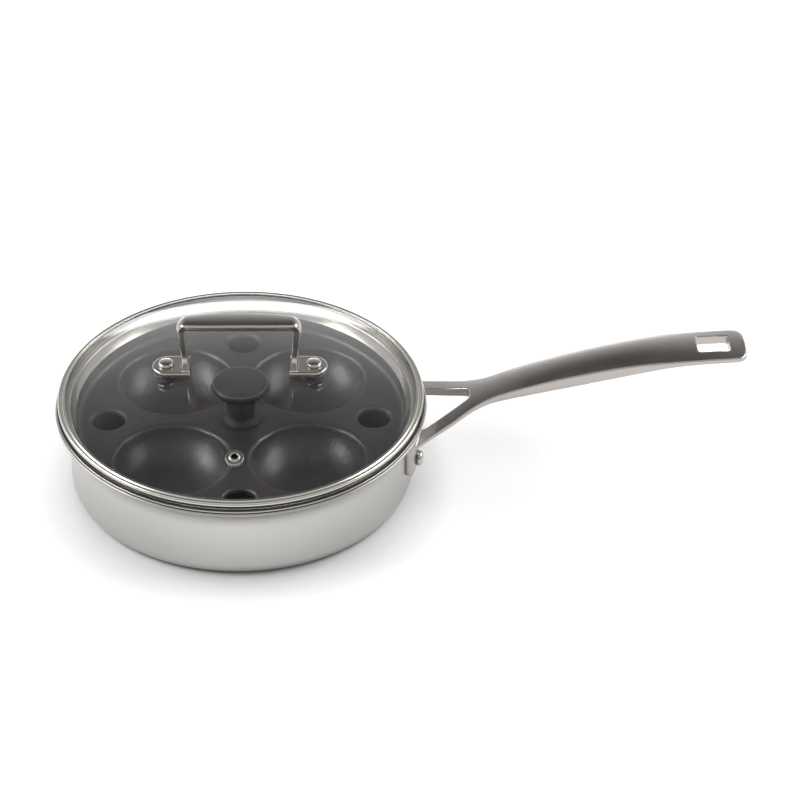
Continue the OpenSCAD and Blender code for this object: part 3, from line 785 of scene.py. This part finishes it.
def make_handle_rivets():
    """Rivets: a flattened head inside the pan, a shank and a domed head on the pad."""
    inside = PAN_R - PAN_WALL - 0.12
    flat = inside - 1.6
    seat = PAD_OUT_R + SLIP
    round_r = 1.6
    profile = (
        softened([
            (0, flat), (RIVET_HEAD_R - 1.2, flat, 0.6),
            (RIVET_HEAD_R, inside - 0.5, 0.4), (RIVET_HEAD_R, inside),
        ])
        + [(RIVET_R, inside), (RIVET_R, seat), (RIVET_HEAD_R, seat)]
        + arc((RIVET_HEAD_R - round_r, seat + 1.1), round_r, 0, 62, 8)
        + [(RIVET_HEAD_R - 2.9, seat + 2.66), (1.0, seat + 2.86), (0, seat + 2.9)]
    )
    for name, angle in (("handle_rivet_front", -PAD_ANGLE), ("handle_rivet_rear", PAD_ANGLE)):
        mesh = Shape().turned(profile, radial(angle, RIVET_Z)).mesh(name + "_domed")
        piece(name + "_domed", mesh, "pan", [RIVET_STEEL], [name])


# Tray

PLATE_Z = RIM_TOP[1] - TRAY_DROP
FLANGE_W = 9.0
FLANGE_FALL = 1.3
FLANGE_BEND_R = TRAY_SHEET + 0.2
FLANGE_OUT = (RIM_TOP[0] - 0.25, RIM_TOP[1] + SEAT_GAP)
FLANGE_IN_R = RIM_TOP[0] - FLANGE_W
FLANGE_TOP_Z = FLANGE_OUT[1] + TRAY_SHEET
TRAY_WALL_R = FLANGE_IN_R - 2.9
TRAY_CORNER_R = 3.5
PLATE_R = TRAY_WALL_R - TRAY_CORNER_R
CUP_SIN = sind(180 / CUPS)
CUP_R = ((PLATE_R - CUP_EDGE_GAP) * CUP_SIN - CUP_GAP / 2) / (1 + CUP_SIN)
CUP_REACH = PLATE_R - CUP_EDGE_GAP - CUP_R
STEAM_HOLE_REACH = PLATE_R - STEAM_HOLE_EDGE_GAP - STEAM_HOLE_LIP - STEAM_HOLE_R
BOWL_R = ((CUP_R - CUP_FLAT_R) ** 2 + CUP_DEPTH ** 2 - 2 * CUP_DEPTH * CUP_LIP_R) / (2 * CUP_DEPTH)
BOWL_CENTRE = (CUP_FLAT_R, PLATE_Z - CUP_DEPTH + BOWL_R)
LIP_CENTRE = (CUP_R, PLATE_Z - CUP_LIP_R)
LIP_ANGLE = math.degrees(math.atan2(LIP_CENTRE[1] - BOWL_CENTRE[1], LIP_CENTRE[0] - BOWL_CENTRE[0]))


def flange_z(r):
    return FLANGE_TOP_Z - FLANGE_FALL * (FLANGE_OUT[0] - r) / (FLANGE_OUT[0] - FLANGE_IN_R)


def circle_points(centre, radius, steps):
    return [Vector(on_circle(centre, radius, 360 * i / steps)) for i in range(steps)]


def sheet_with_holes(outer, holes, fill=()):
    """Triangles between an outer circle and round holes, each given as (centre, radius, steps)."""
    points = []
    edges = []
    for centre, radius, steps in [outer, *holes]:
        first = len(points)
        points += circle_points(centre, radius, steps)
        edges += [(first + i, first + (i + 1) % steps) for i in range(steps)]
    points += [Vector(p) for p in fill]
    made, _, faces, *_ = delaunay_2d_cdt(points, edges, [], 0, 1e-7)
    kept = []
    for face in faces:
        middle = sum((made[i] for i in face), Vector((0, 0))) / len(face)
        inside = (middle - Vector(outer[0])).length < outer[1]
        free = all((middle - Vector(c)).length > r * cosd(180 / n) for c, r, n in holes)
        if inside and free:
            kept.append(face)
    return made, kept


def make_tray():
    """Tray: a pressed sheet with a coated plate, round cups, rolled steam holes and a bare flange whose top
    under the lid's bead takes the dark coat as painted shade.
    """
    t = TRAY_SHEET
    join = 0.15
    shape = Shape()
    cup_angles = [TRAY_TURN + (i + 0.5) * 360 / CUPS for i in range(CUPS)]
    hole_angles = [TRAY_TURN + i * 360 / CUPS for i in range(CUPS)]
    cup_centres = [on_circle((0, 0), CUP_REACH, a) for a in cup_angles]
    hole_centres = [on_circle((0, 0), STEAM_HOLE_REACH, a) for a in hole_angles]
    cup_edge = CUP_R + join
    hole_edge = STEAM_HOLE_R + STEAM_HOLE_LIP + join
    plate_edge = PLATE_R - join
    openings = [(c, cup_edge, CUP_TURN) for c in cup_centres]
    openings += [(c, hole_edge, STEAM_HOLE_TURN) for c in hole_centres]
    flat, faces = sheet_with_holes(((0, 0), plate_edge, FINE_TURN), openings)
    for z in (PLATE_Z, PLATE_Z - t):
        first = len(shape.points)
        shape.points += [(p.x, p.y, z) for p in flat]
        for face in faces:
            shape.add_face([first + i for i in face])

    cup_top = (
        [(0, PLATE_Z - CUP_DEPTH)] + arc(BOWL_CENTRE, BOWL_R, -90, LIP_ANGLE, 26)
        + arc(LIP_CENTRE, CUP_LIP_R, LIP_ANGLE + 180, 90, 14)[1:] + [(cup_edge, PLATE_Z)]
    )
    cup_under = (
        [(0, PLATE_Z - CUP_DEPTH - t)] + arc(BOWL_CENTRE, BOWL_R + t, -90, LIP_ANGLE, 26)
        + arc(LIP_CENTRE, CUP_LIP_R - t, LIP_ANGLE + 180, 90, 14)[1:] + [(cup_edge, PLATE_Z - t)]
    )
    for centre in cup_centres:
        place = Matrix.Translation((*centre, 0))
        shape.turned(cup_top, place, CUP_TURN)
        shape.turned(cup_under, place, CUP_TURN)

    roll_centre = (STEAM_HOLE_R + STEAM_HOLE_LIP, PLATE_Z - STEAM_HOLE_LIP)
    hem_z = roll_centre[1] - 1 + t / 2
    rolled = (
        [(hole_edge, PLATE_Z)] + arc(roll_centre, STEAM_HOLE_LIP, 90, 180, 10)
        + arc((STEAM_HOLE_R + t / 2, hem_z), t / 2, 180, 360, 8)
        + arc(roll_centre, STEAM_HOLE_LIP - t, 180, 90, 10) + [(hole_edge, PLATE_Z - t)]
    )
    for centre in hole_centres:
        shape.turned(rolled, Matrix.Translation((*centre, 0)), STEAM_HOLE_TURN)

    bend = (FLANGE_IN_R + FLANGE_BEND_R, flange_z(FLANGE_IN_R) - FLANGE_BEND_R)
    corner = (PLATE_R, PLATE_Z + TRAY_CORNER_R)
    step_z = flange_z(FLANGE_IN_R) - 4.9
    wall = (
        [(plate_edge, PLATE_Z)] + arc(corner, TRAY_CORNER_R, -90, 0, 12)
        + softened([(TRAY_WALL_R, PLATE_Z + TRAY_CORNER_R + 0.3), (TRAY_WALL_R, step_z, 0.8),
                    on_circle(bend, FLANGE_BEND_R, 165)])[1:-1]
    )
    bare_wall_steps = 4
    # From just outside the lid's seat to the bare outer edge, under the lid's bead, the flange's top takes
    # the dark coat: painted shade
    painted_shade_from_r = LID_SEAT_R + 0.2
    bare_top = arc(bend, FLANGE_BEND_R, 165, 98, 8) + [(painted_shade_from_r, flange_z(painted_shade_from_r))]
    flange = (
        bare_top
        + softened([bare_top[-1], (FLANGE_OUT[0], FLANGE_TOP_Z, 0.3), (*FLANGE_OUT, 0.3),
                    on_circle(bend, FLANGE_BEND_R - t, 98)])[1:-1]
        + arc(bend, FLANGE_BEND_R - t, 98, 165, 4)
        + [(TRAY_WALL_R + t, step_z - 0.2)]
        + arc(corner, TRAY_CORNER_R + t, 0, -90, 12) + [(plate_edge, PLATE_Z - t)]
    )
    bare_steps = range(len(wall) - bare_wall_steps, len(wall) + len(bare_top) - 1)
    profile = wall + flange
    painted_shade_to_r = FLANGE_OUT[0] - 0.35

    # Finish 1 is bare steel; the dark coat between the two radii above is painted shade under the bead
    def finish(k):
        return int(k in bare_steps or min(profile[k][0], profile[k + 1][0]) > painted_shade_to_r)

    shape.turned(profile, steps=FINE_TURN, finish=finish)
    mesh = shape.mesh("tray_pressed")
    piece("tray_pressed", mesh, "tray", [TRAY_COAT_AND_PAINTED_SHADE, FLANGE_STEEL], ["poacher_tray"])


def make_tray_knob():
    """Knob of the tray: a round disc on a waisted stem with a spread foot. The stem takes a darker copy of
    the knob's plastic, a painted shade under the disc, and the disc's upper edge a lighter one, a painted
    highlight.
    """
    stem_r, foot_r, disc_h, neck_r = 8.0, 10.5, 3.0, 4.0
    low = PLATE_Z + SLIP
    top = PLATE_Z + KNOB_H
    fillet_r = foot_r + 1.2 - stem_r
    neck_z = top - 9
    foot_arc = arc((foot_r + 1.2, low + 1 + fillet_r), fillet_r, 265, 180, 10)
    stem = (
        softened([(0, low), (foot_r, low, 0.3), foot_arc[0]]) + foot_arc[1:]
        + arc((stem_r + neck_r, neck_z), neck_r, 180, 110, 10)
    )
    disc = [(KNOB_R - 1.6, top - disc_h - 0.6)] + arc((KNOB_R - 1, top - disc_h + 0.4), 1, -60, 20, 8)
    upper_edge = arc((KNOB_R - 1.4, top - 1), 1, 20, 90, 8)
    profile = stem + disc + upper_edge + [(KNOB_R - 1.6, top), (0, top)]
    edge_end = len(stem + disc + upper_edge)
    # The last steps of the disc's upper edge take the lighter coat, a painted highlight
    highlight_steps = range(edge_end - 4, edge_end)

    # Finish 1, the darker plastic of the stem, is painted shade under the disc
    def finish(k):
        return 2 if k in highlight_steps else int(k <= len(stem))

    mesh = Shape().turned(profile, steps=FINE_TURN // 2, finish=finish).mesh("tray_knob_turned")
    piece("tray_knob_turned", mesh, "tray", [KNOB_COAT, STEM_COAT_PAINTED_SHADE, KNOB_EDGE_PAINTED_HIGHLIGHT], ["tray_knob"])


# Lid

STRIP_T = 0.4
SKIRT_T = 0.6
LID_SEAT_R = RIM_TOP[0] - 3.3
LID_SEAT_Z = flange_z(LID_SEAT_R) + SEAT_GAP
GLASS_EDGE_R = LID_SEAT_R - SKIRT_T - 2 * SLIP
DOME_R = (GLASS_EDGE_R ** 2 + DOME_RISE ** 2) / (2 * DOME_RISE)
UNDER_R = DOME_R - GLASS_T
GLASS_EDGE_H = math.sqrt(DOME_R ** 2 - GLASS_EDGE_R ** 2) - math.sqrt(UNDER_R ** 2 - GLASS_EDGE_R ** 2)
GLASS_EDGE_Z = LID_SEAT_Z + STRIP_T + SLIP + GLASS_EDGE_H
DOME_CENTRE_Z = GLASS_EDGE_Z + DOME_RISE - DOME_R
BEAD_CENTRE = (RIM_TOP[0] - 1 - BEAD_R, GLASS_EDGE_Z - 0.75)


def dome_z(r):
    return DOME_CENTRE_Z + math.sqrt(DOME_R ** 2 - r * r)


def under_dome_z(r):
    return DOME_CENTRE_Z + math.sqrt(UNDER_R ** 2 - r * r)


ARCH_RISE = 1.2
ARCH_CORNER_R = 6.0
LEG_LEAN = 5.5
FOOT_T = 2.9
FOOT_HALF_W = 9.0
FOOT_EDGE_R = 1.0
FOOT_CLEAR = 0.47
BAR_EDGE_R = 0.8
BAR_CROWN = 0.55
LEG_SLIM = 0.5
GASKET_R = 7.5
WASHER_T = 2.0
LID_SCREW_R = 2.4
LID_HEAD_R = 4.35
ARCH_R = ((BAR_W / 2) ** 2 + ARCH_RISE ** 2) / (2 * ARCH_RISE)
ARCH_ANGLE = math.degrees(math.asin((BAR_W / 2 - ARCH_CORNER_R) / (ARCH_R - ARCH_CORNER_R)))
LEG_H = BAR_H + FOOT_T - ARCH_R + (ARCH_R - ARCH_CORNER_R) * cosd(ARCH_ANGLE) - ARCH_CORNER_R * sind(LEG_LEAN)
LEG_FOOT_X = BAR_W / 2 - ARCH_CORNER_R * (1 - cosd(LEG_LEAN)) - LEG_H * math.tan(math.radians(LEG_LEAN))
SCREW_X = LEG_FOOT_X + SCREW_OUT
FOOT_Z = dome_z(LEG_FOOT_X - BAR_T) + FOOT_CLEAR
BAR_TOP_Z = FOOT_Z + FOOT_T + BAR_H
LID_TURN = Matrix.Rotation(math.radians(LID_ANGLE), 4, "Z")


def at_lid_screw(side):
    return LID_TURN @ Matrix.Translation((side * SCREW_X, 0, 0))


VENT_ANGLE = math.asin((GLASS_EDGE_R - VENT_INSET) / DOME_R)
AT_VENT = (
    Matrix.Rotation(math.radians(LID_ANGLE - 91), 4, "Z") @ Matrix.Translation((0, 0, DOME_CENTRE_Z))
    @ Matrix.Rotation(VENT_ANGLE, 4, "Y") @ Matrix.Translation((0, 0, DOME_R))
)
VENT_TUBE_R = 3.0


def make_lid_glass():
    """Lid glass: a slice of two spheres, with holes for the screws and the vent."""
    flat_r = GLASS_EDGE_R - 0.7
    vent_r = DOME_R * math.sin(VENT_ANGLE)
    vent_at = on_circle((0, 0), vent_r, LID_ANGLE - 91)
    screw_spots = [at_lid_screw(side) @ Vector((0, 0, 0)) for side in (-1, 1)]
    holes = [((p.x, p.y), LID_SCREW_R + 0.8, FITTING_HOLE_TURN) for p in screw_spots]
    holes.append((vent_at, VENT_TUBE_R + SLIP, FITTING_HOLE_TURN))
    fill = [Vector((0, 0))]
    ring_gap = 3.6
    for k in range(1, int((GLASS_EDGE_R - 2) / ring_gap) + 1):
        fill += circle_points((0, 0), k * ring_gap, max(12, 6 * k))
    spaced = [p for p in fill if all((p - Vector(c)).length > r + 1.2 for c, r, _ in holes)]
    flat, faces = sheet_with_holes(((0, 0), flat_r, FINE_TURN), holes, spaced)
    shape = Shape()
    for height in (dome_z, under_dome_z):
        first = len(shape.points)
        shape.points += [(p.x, p.y, height(p.length)) for p in flat]
        for face in faces:
            shape.add_face([first + i for i in face])
    for centre, radius, steps in holes:
        ring = circle_points(centre, radius, steps)
        top = [shape.add_point((p.x, p.y, dome_z(p.length))) for p in ring]
        low = [shape.add_point((p.x, p.y, under_dome_z(p.length))) for p in ring]
        for i in range(steps):
            j = (i + 1) % steps
            shape.add_face((top[i], top[j], low[j], low[i]))
    shape.turned(
        softened([
            (flat_r, dome_z(flat_r)), (GLASS_EDGE_R, dome_z(GLASS_EDGE_R), 0.3),
            (GLASS_EDGE_R, under_dome_z(GLASS_EDGE_R), 0.3), (flat_r, under_dome_z(flat_r)),
        ]),
        steps=FINE_TURN,
    )
    mesh = shape.mesh("lid_glass_domed")
    piece("lid_glass_domed", mesh, "lid", [LID_GLASS], ["lid_glass"])
    centre = Vector((0, 0, DOME_CENTRE_Z)) * MM
    normals = []
    for vertex in mesh.vertices:
        out = vertex.co - centre
        if math.hypot(vertex.co.x, vertex.co.y) / MM > flat_r - 0.01:
            normals.append(vertex.normal.copy())
        elif out.length > (DOME_R - GLASS_T / 2) * MM:
            normals.append(out.normalized())
        else:
            normals.append(-out.normalized())
    mesh.normals_split_custom_set_from_vertices(normals)


def make_lid_rim():
    """Lid rim: a strip rolled round the glass, with its bead outside."""
    lip_z = dome_z(GLASS_EDGE_R - 0.6) + SLIP
    ledge_z = under_dome_z(GLASS_EDGE_R) - SLIP
    inner_r = GLASS_EDGE_R + SLIP
    ledge_r = GLASS_EDGE_R - 1.6
    ledge_rise = under_dome_z(ledge_r) - under_dome_z(GLASS_EDGE_R)
    lip_r = GLASS_EDGE_R - 1.2
    strip = softened([
        (ledge_r, ledge_z + ledge_rise - STRIP_T, 0.15),
        (inner_r, LID_SEAT_Z, 0.1),
        (LID_SEAT_R, LID_SEAT_Z, 0.15),
        (LID_SEAT_R + 0.1, BEAD_CENTRE[1] - 0.9),
        BEAD_CENTRE,
        (LID_SEAT_R + 0.2, lip_z - 0.2),
        (LID_SEAT_R - 0.6, lip_z + 0.5, 0.5),
        (lip_r, lip_z + 0.85, 0.2),
        (lip_r, lip_z + 0.35, 0.2),
        (inner_r, lip_z),
        (inner_r, ledge_z),
        (ledge_r, ledge_z + ledge_rise, 0.15),
    ], loop=True, steps=4, hold=0.02)
    shape = Shape()
    shape.turned(strip, steps=FINE_TURN, loop=True)
    shape.turned(arc(BEAD_CENTRE, BEAD_R, 0, 348.75, 31), steps=FINE_TURN, loop=True)
    piece("lid_rim_rolled", shape.mesh("lid_rim_rolled"), "lid", [RIM_STEEL], ["lid_rim"])


def make_steam_vent():
    """Steam vent: an eyelet through the glass, flanged on top and curled underneath."""
    hole_r, flange_r = 1.9, 5.15
    lip_z, curl_z = 1.75, -GLASS_T - 1.2
    curl_r = flange_r - 0.6
    profile = softened([
        (hole_r, curl_z, 0.3),
        (hole_r, lip_z, 0.35),
        (VENT_TUBE_R, lip_z, 0.4),
        (VENT_TUBE_R, 0.75, 0.25),
        (flange_r, 0.55, 0.25),
        (flange_r, 0.12, 0.1),
        (VENT_TUBE_R, 0.12),
        (VENT_TUBE_R, -GLASS_T - 0.12),
        (curl_r, -GLASS_T - 0.12, 0.1),
        (curl_r, -GLASS_T - 0.6, 0.2),
        (VENT_TUBE_R - 0.4, curl_z, 0.2),
    ], loop=True, hold=0.02)
    count = len(profile)

    # The bore takes the dark steel, a painted shade inside the hole
    def finish(k):
        return int(max(profile[k][0], profile[(k + 1) % count][0]) < hole_r + 0.05)

    mesh = Shape().turned(profile, AT_VENT, SMALL_TURN, loop=True, finish=finish).mesh("steam_vent_eyelet")
    piece("steam_vent_eyelet", mesh, "lid", [RIM_STEEL, BORE_STEEL_PAINTED_SHADE], ["steam_vent"])


def leg_spread(height):
    return 4.6 * max(0, 1 - height / 12) ** 2


def arch_half_depth(x):
    """The bar narrows from its middle towards its legs."""
    return BAR_D / 2 - 2.2 * min(1, abs(x) / (BAR_W / 2)) ** 2.5


def arch_ring(point, angle, spread, slim):
    """One section of the arch: a bar with rounded edges and a crowned outer face."""
    reach = arch_half_depth(point[0]) + spread - BAR_EDGE_R
    shoulder = spread / 4 - slim - BAR_CROWN
    outer, inner = shoulder - BAR_EDGE_R, BAR_EDGE_R - BAR_T + slim
    section = arc((reach, outer), BAR_EDGE_R, 0, 90, 6)
    for step in range(1, 12):
        share = 1 - step / 6
        section.append((share * reach, shoulder + BAR_CROWN * (1 - share * share)))
    section += arc((-reach, outer), BAR_EDGE_R, 90, 180, 6)
    section += arc((-reach, inner), BAR_EDGE_R, 180, 270, 6)
    section += arc((reach, inner), BAR_EDGE_R, 270, 360, 6)
    return [(point[0] + out * cosd(angle), across, point[1] + out * sind(angle)) for across, out in section]


def half_arch():
    """Stations of the right half of the arch, from the middle of the bar down to the foot."""
    centre = (0, BAR_TOP_Z - ARCH_R)
    corner = on_circle(centre, ARCH_R - ARCH_CORNER_R, 90 - ARCH_ANGLE)
    stations = []
    for i in range(24):
        angle = 90 - ARCH_ANGLE * i / 24
        stations.append((on_circle(centre, ARCH_R, angle), angle, 0, 0))
    for i in range(19):
        angle = 90 - ARCH_ANGLE - (90 - ARCH_ANGLE + LEG_LEAN) * i / 18
        stations.append((on_circle(corner, ARCH_CORNER_R, angle), angle, 0, 0))
    for i in range(23):
        height = 12 - 11 * i / 22
        foot = (LEG_FOOT_X + height * math.tan(math.radians(LEG_LEAN)), FOOT_Z + height)
        slim = LEG_SLIM * (1 - height / (BAR_H - ARCH_CORNER_R))
        stations.append((foot, -LEG_LEAN, leg_spread(height), slim))
    return stations


def lid_foot(side):
    """Foot of the lid handle: a plate with a round end and a rounded upper edge."""
    start_x = LEG_FOOT_X - BAR_T + 0.3
    end_x = SCREW_X - 1.2
    levels = [(0, 0)] + [
        (FOOT_T - FOOT_EDGE_R + FOOT_EDGE_R * sind(a), FOOT_EDGE_R * (1 - cosd(a))) for a in range(0, 91, 15)
    ]
    rings = []
    for height, inset in levels:
        radius = FOOT_HALF_W - inset
        outline = arc((end_x, 0), radius, -90, 90, 36) + [(start_x, radius), (start_x, -radius)]
        rings.append([(side * x, y, FOOT_Z + height) for x, y in outline])
    return helper("foot", Shape().lofted(rings))


def make_lid_handle():
    """Lid handle: a cast arch with two feet."""
    right = half_arch()
    left = [((-point[0], point[1]), 180 - angle, *rest) for point, angle, *rest in right[:0:-1]]
    arch = helper("arch", Shape().lofted([arch_ring(*station) for station in left + right]))
    mesh = cast([arch, lid_foot(-1), lid_foot(1)], "lid_handle_cast", grain=0.28, rounding=7)
    mesh.transform(LID_TURN)
    piece("lid_handle_cast", mesh, "lid", [LID_HANDLE_STEEL], ["lid_handle"])


def make_lid_screws():
    """Lid screws: a shank with a domed, polished head."""
    seat = FOOT_Z + FOOT_T + SLIP
    low = under_dome_z(SCREW_X) - WASHER_T - 3.4 + 0.4 + SLIP
    round_r = 1.3
    profile = (
        [(0, low), (LID_SCREW_R, low), (LID_SCREW_R, seat), (LID_HEAD_R, seat)]
        + arc((LID_HEAD_R - round_r, seat + 0.8), round_r, 0, 58, 8)
        + [(LID_HEAD_R - 2.4, seat + 2.12), (0.9, seat + 2.27), (0, seat + 2.3)]
    )
    for side, name in ((-1, "lid_screw_left"), (1, "lid_screw_right")):
        mesh = Shape().turned(profile, at_lid_screw(side)).mesh(name + "_domed")
        piece(name + "_domed", mesh, "lid", [RIVET_STEEL], [name])


def make_lid_gaskets():
    """Gaskets: soft collars between the feet and the glass, rounded at the edge and cut to the dome."""
    inner = LID_SCREW_R + SLIP
    top = FOOT_Z - SLIP
    levels = (
        (inner, 0), (GASKET_R - 0.5, 0), (GASKET_R - 0.12, 0.1), (GASKET_R, 0.25),
        (GASKET_R, 0.75), (GASKET_R - 0.12, 0.9), (GASKET_R - 0.5, 1), (inner, 1),
    )
    for side, name in ((-1, "lid_gasket_left"), (1, "lid_gasket_right")):
        place = at_lid_screw(side)
        shape = Shape()
        rings = []
        for radius, share in levels:
            ring = []
            for x, y in circle_points((0, 0), radius, GASKET_TURN):
                bottom = DOME_CENTRE_Z + math.sqrt((DOME_R + SLIP) ** 2 - (side * SCREW_X + x) ** 2 - y * y)
                ring.append(shape.add_point(place @ Vector((x, y, bottom + (top - bottom) * share))))
            rings.append(ring)
        rings.append(rings[0])
        for lower, upper in zip(rings, rings[1:]):
            for i in range(GASKET_TURN):
                j = (i + 1) % GASKET_TURN
                shape.add_face((lower[i], lower[j], upper[j], upper[i]))
        piece(name + "_soft", shape.mesh(name + "_soft"), "lid", [SILICONE], [name])


make_pan()
make_long_handle()
make_handle_rivets()
make_tray()
make_tray_knob()
make_lid_glass()
make_lid_rim()
make_steam_vent()
make_lid_handle()
make_lid_screws()
make_lid_gaskets()

# The small fixings under the glass and the tray keep the frame's shapes
for node, finish in (
    ("tray_knob_washer", RIVET_STEEL), ("tray_knob_screw", RIVET_STEEL),
    ("lid_washer_left", SILICONE), ("lid_washer_right", SILICONE),
    ("lid_nut_left", RIVET_STEEL), ("lid_nut_right", RIVET_STEEL),
):
    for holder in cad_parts[node].material_slots:
        holder.material = finish


# Stage, light and camera

def make_floor():
    """A pale floor that stays white round the object and keeps its shadow, darkened round the pan by a
    painted contact shadow under its foot and by painted shade where the glow is held back near it.
    """
    mesh = bpy.data.meshes.new("floor")
    reach = 6.0
    drop = -0.0001
    corners = ((-reach, -reach), (reach, -reach), (reach, reach), (-reach, reach))
    mesh.from_pydata([(*corner, drop) for corner in corners], [], [(0, 1, 2, 3)])
    made, tree, shader = material("floor_white")
    # The base colour darkens under the pan's foot: a painted contact shadow
    painted_contact_shadow, open_floor = (0.089, 0.12), (0.095, 0.72)
    radius, _ = radius_and_height(tree)
    shade = stretched(tree, painted_contact_shadow[0], open_floor[0], radius, painted_contact_shadow[1], open_floor[1])
    tree.links.new(shade, shader.inputs["Base Color"])
    shader.inputs["Roughness"].default_value = 1.0
    shader.inputs["Specular IOR Level"].default_value = 0.0
    glow = group_node(tree, "ShaderNodeEmission")
    path = group_node(tree, "ShaderNodeLightPath")
    mirrored = maths(tree, "MAXIMUM", path.outputs["Is Glossy Ray"], path.outputs["Is Transmission Ray"])
    camera_glow, mirrored_glow = 0.44, 0.36
    # The glow is held back near the pan and fades in outwards, round a centre set a little off the axis:
    # painted shade round the pan
    near, far = 0.09, 0.126
    shade_centre = (-0.005, -0.01, 0)
    seen = maths(tree, "ADD", maths(tree, "MULTIPLY", path.outputs["Is Camera Ray"], camera_glow),
                 maths(tree, "MULTIPLY", mirrored, mirrored_glow))
    spread = group_node(tree, "ShaderNodeVectorMath", operation="DISTANCE")
    spread.inputs[1].default_value = shade_centre
    tree.links.new(place_of(tree), spread.inputs[0])
    away = stretched(tree, near, far, spread.outputs["Value"], 0.0, 1.0)
    tree.links.new(maths(tree, "MULTIPLY", seen, away), glow.inputs["Strength"])
    both = group_node(tree, "ShaderNodeAddShader")
    tree.links.new(shader.outputs[0], both.inputs[0])
    tree.links.new(glow.outputs[0], both.inputs[1])
    tree.links.new(both.outputs[0], tree.nodes["Material Output"].inputs["Surface"])
    mesh.materials.append(made)
    new_object("floor", mesh)


def grey_steps(tree, value, steps):
    """A grey that runs through the given steps as the value rises."""
    ramp = group_node(tree, "ShaderNodeValToRGB")
    stops = ramp.color_ramp.elements
    while len(stops) < len(steps):
        stops.new(0.5)
    for stop, (place, grey) in zip(stops, steps):
        stop.position = place
        stop.color = (grey, grey, grey, 1)
    tree.links.new(value, ramp.inputs[0])
    return ramp.outputs[0]


def make_world():
    """A studio room: bright in front, and behind the object a low white backdrop under a dim wall."""
    world = bpy.data.worlds.new("studio")
    bpy.context.scene.world = world
    world.use_nodes = True
    tree = world.node_tree
    room = tree.nodes["Background"]
    where = group_node(tree, "ShaderNodeTexCoord").outputs["Generated"]
    split = group_node(tree, "ShaderNodeSeparateXYZ")
    tree.links.new(where, split.inputs[0])
    # Brightness by the sine of the height angle, of the room in front and of the backdrop behind
    front = ((0.0, 0.3), (0.35, 0.36), (0.6, 0.78), (1.0, 0.78))
    behind = group_node(tree, "ShaderNodeMapRange", interpolation_type="SMOOTHSTEP")
    for socket, number in zip(behind.inputs[1:5], (-0.2, 0.25, 0.0, 1.0)):
        socket.default_value = number
    tree.links.new(split.outputs[1], behind.inputs[0])
    backdrop = ((0.0, 1.0), (0.2, 0.84), (0.37, 0.68), (0.46, 0.48), (0.6, 0.35), (0.74, 0.16), (0.88, 0.09))
    level = group_node(tree, "ShaderNodeMix", data_type="FLOAT")
    tree.links.new(behind.outputs[0], level.inputs[0])
    tree.links.new(grey_steps(tree, split.outputs[2], front), level.inputs[2])
    tree.links.new(grey_steps(tree, split.outputs[2], backdrop), level.inputs[3])
    tree.links.new(level.outputs[0], room.inputs[1])
    room.inputs[0].default_value = (1, 1, 1, 1)
    white = group_node(tree, "ShaderNodeBackground")
    white.inputs[0].default_value = (1, 1, 1, 1)
    white.inputs[1].default_value = 1.0
    path = group_node(tree, "ShaderNodeLightPath")
    mix = group_node(tree, "ShaderNodeMixShader")
    tree.links.new(path.outputs["Is Camera Ray"], mix.inputs[0])
    tree.links.new(room.outputs[0], mix.inputs[1])
    tree.links.new(white.outputs[0], mix.inputs[2])
    tree.links.new(mix.outputs[0], tree.nodes["World Output"].inputs["Surface"])


def softbox(name, toward, distance, size, power):
    """A soft lamp that looks at the middle of the pan."""
    light = bpy.data.lights.new(name, "AREA")
    light.shape = "RECTANGLE"
    light.size, light.size_y = size
    light.energy = power
    made = new_object(name, light)
    away = Vector(toward).normalized()
    aim = Vector((0.03, 0, 0.04))
    turn = away.to_track_quat("Z", "Y").to_matrix().to_4x4()
    made.matrix_world = Matrix.Translation(aim + away * distance) @ turn


def make_camera():
    """The camera stands where the photograph was taken from."""
    elevation, azimuth = 35.73, -5.5
    distance, focal = 2.4, 4193.0
    frame_px, sensor = 800.0, 36.0
    base_at = (242.9, 472.3)
    back = Vector((sind(azimuth) * cosd(elevation), -cosd(azimuth) * cosd(elevation), sind(elevation)))
    right = Vector((cosd(azimuth), sind(azimuth), 0))
    up = back.cross(right)
    middle = frame_px / 2
    across = (middle - base_at[0]) / focal * distance
    down = (base_at[1] - middle) / focal * distance
    spot = right * across + up * down + back * distance
    data = bpy.data.cameras.new("camera")
    data.sensor_width = sensor
    data.lens = focal / frame_px * sensor
    data.clip_start = 0.05
    data.clip_end = 30
    camera = new_object("camera", data)
    turn = Matrix((right, up, back)).transposed().to_4x4()
    camera.matrix_world = Matrix.Translation(spot) @ turn
    bpy.context.scene.camera = camera


make_floor()
make_world()
softbox("softbox_left", (-0.86, 0.1, 0.6), 1.1, (0.9, 0.36), 9.0)
softbox("softbox_right", (0.86, 0.1, 0.6), 1.1, (0.9, 0.36), 7.0)
softbox("back_strip", (0, 1, 0.035), 1.7, (1.8, 0.22), 3.0)
make_camera()
bpy.context.scene.view_settings.view_transform = "Standard"
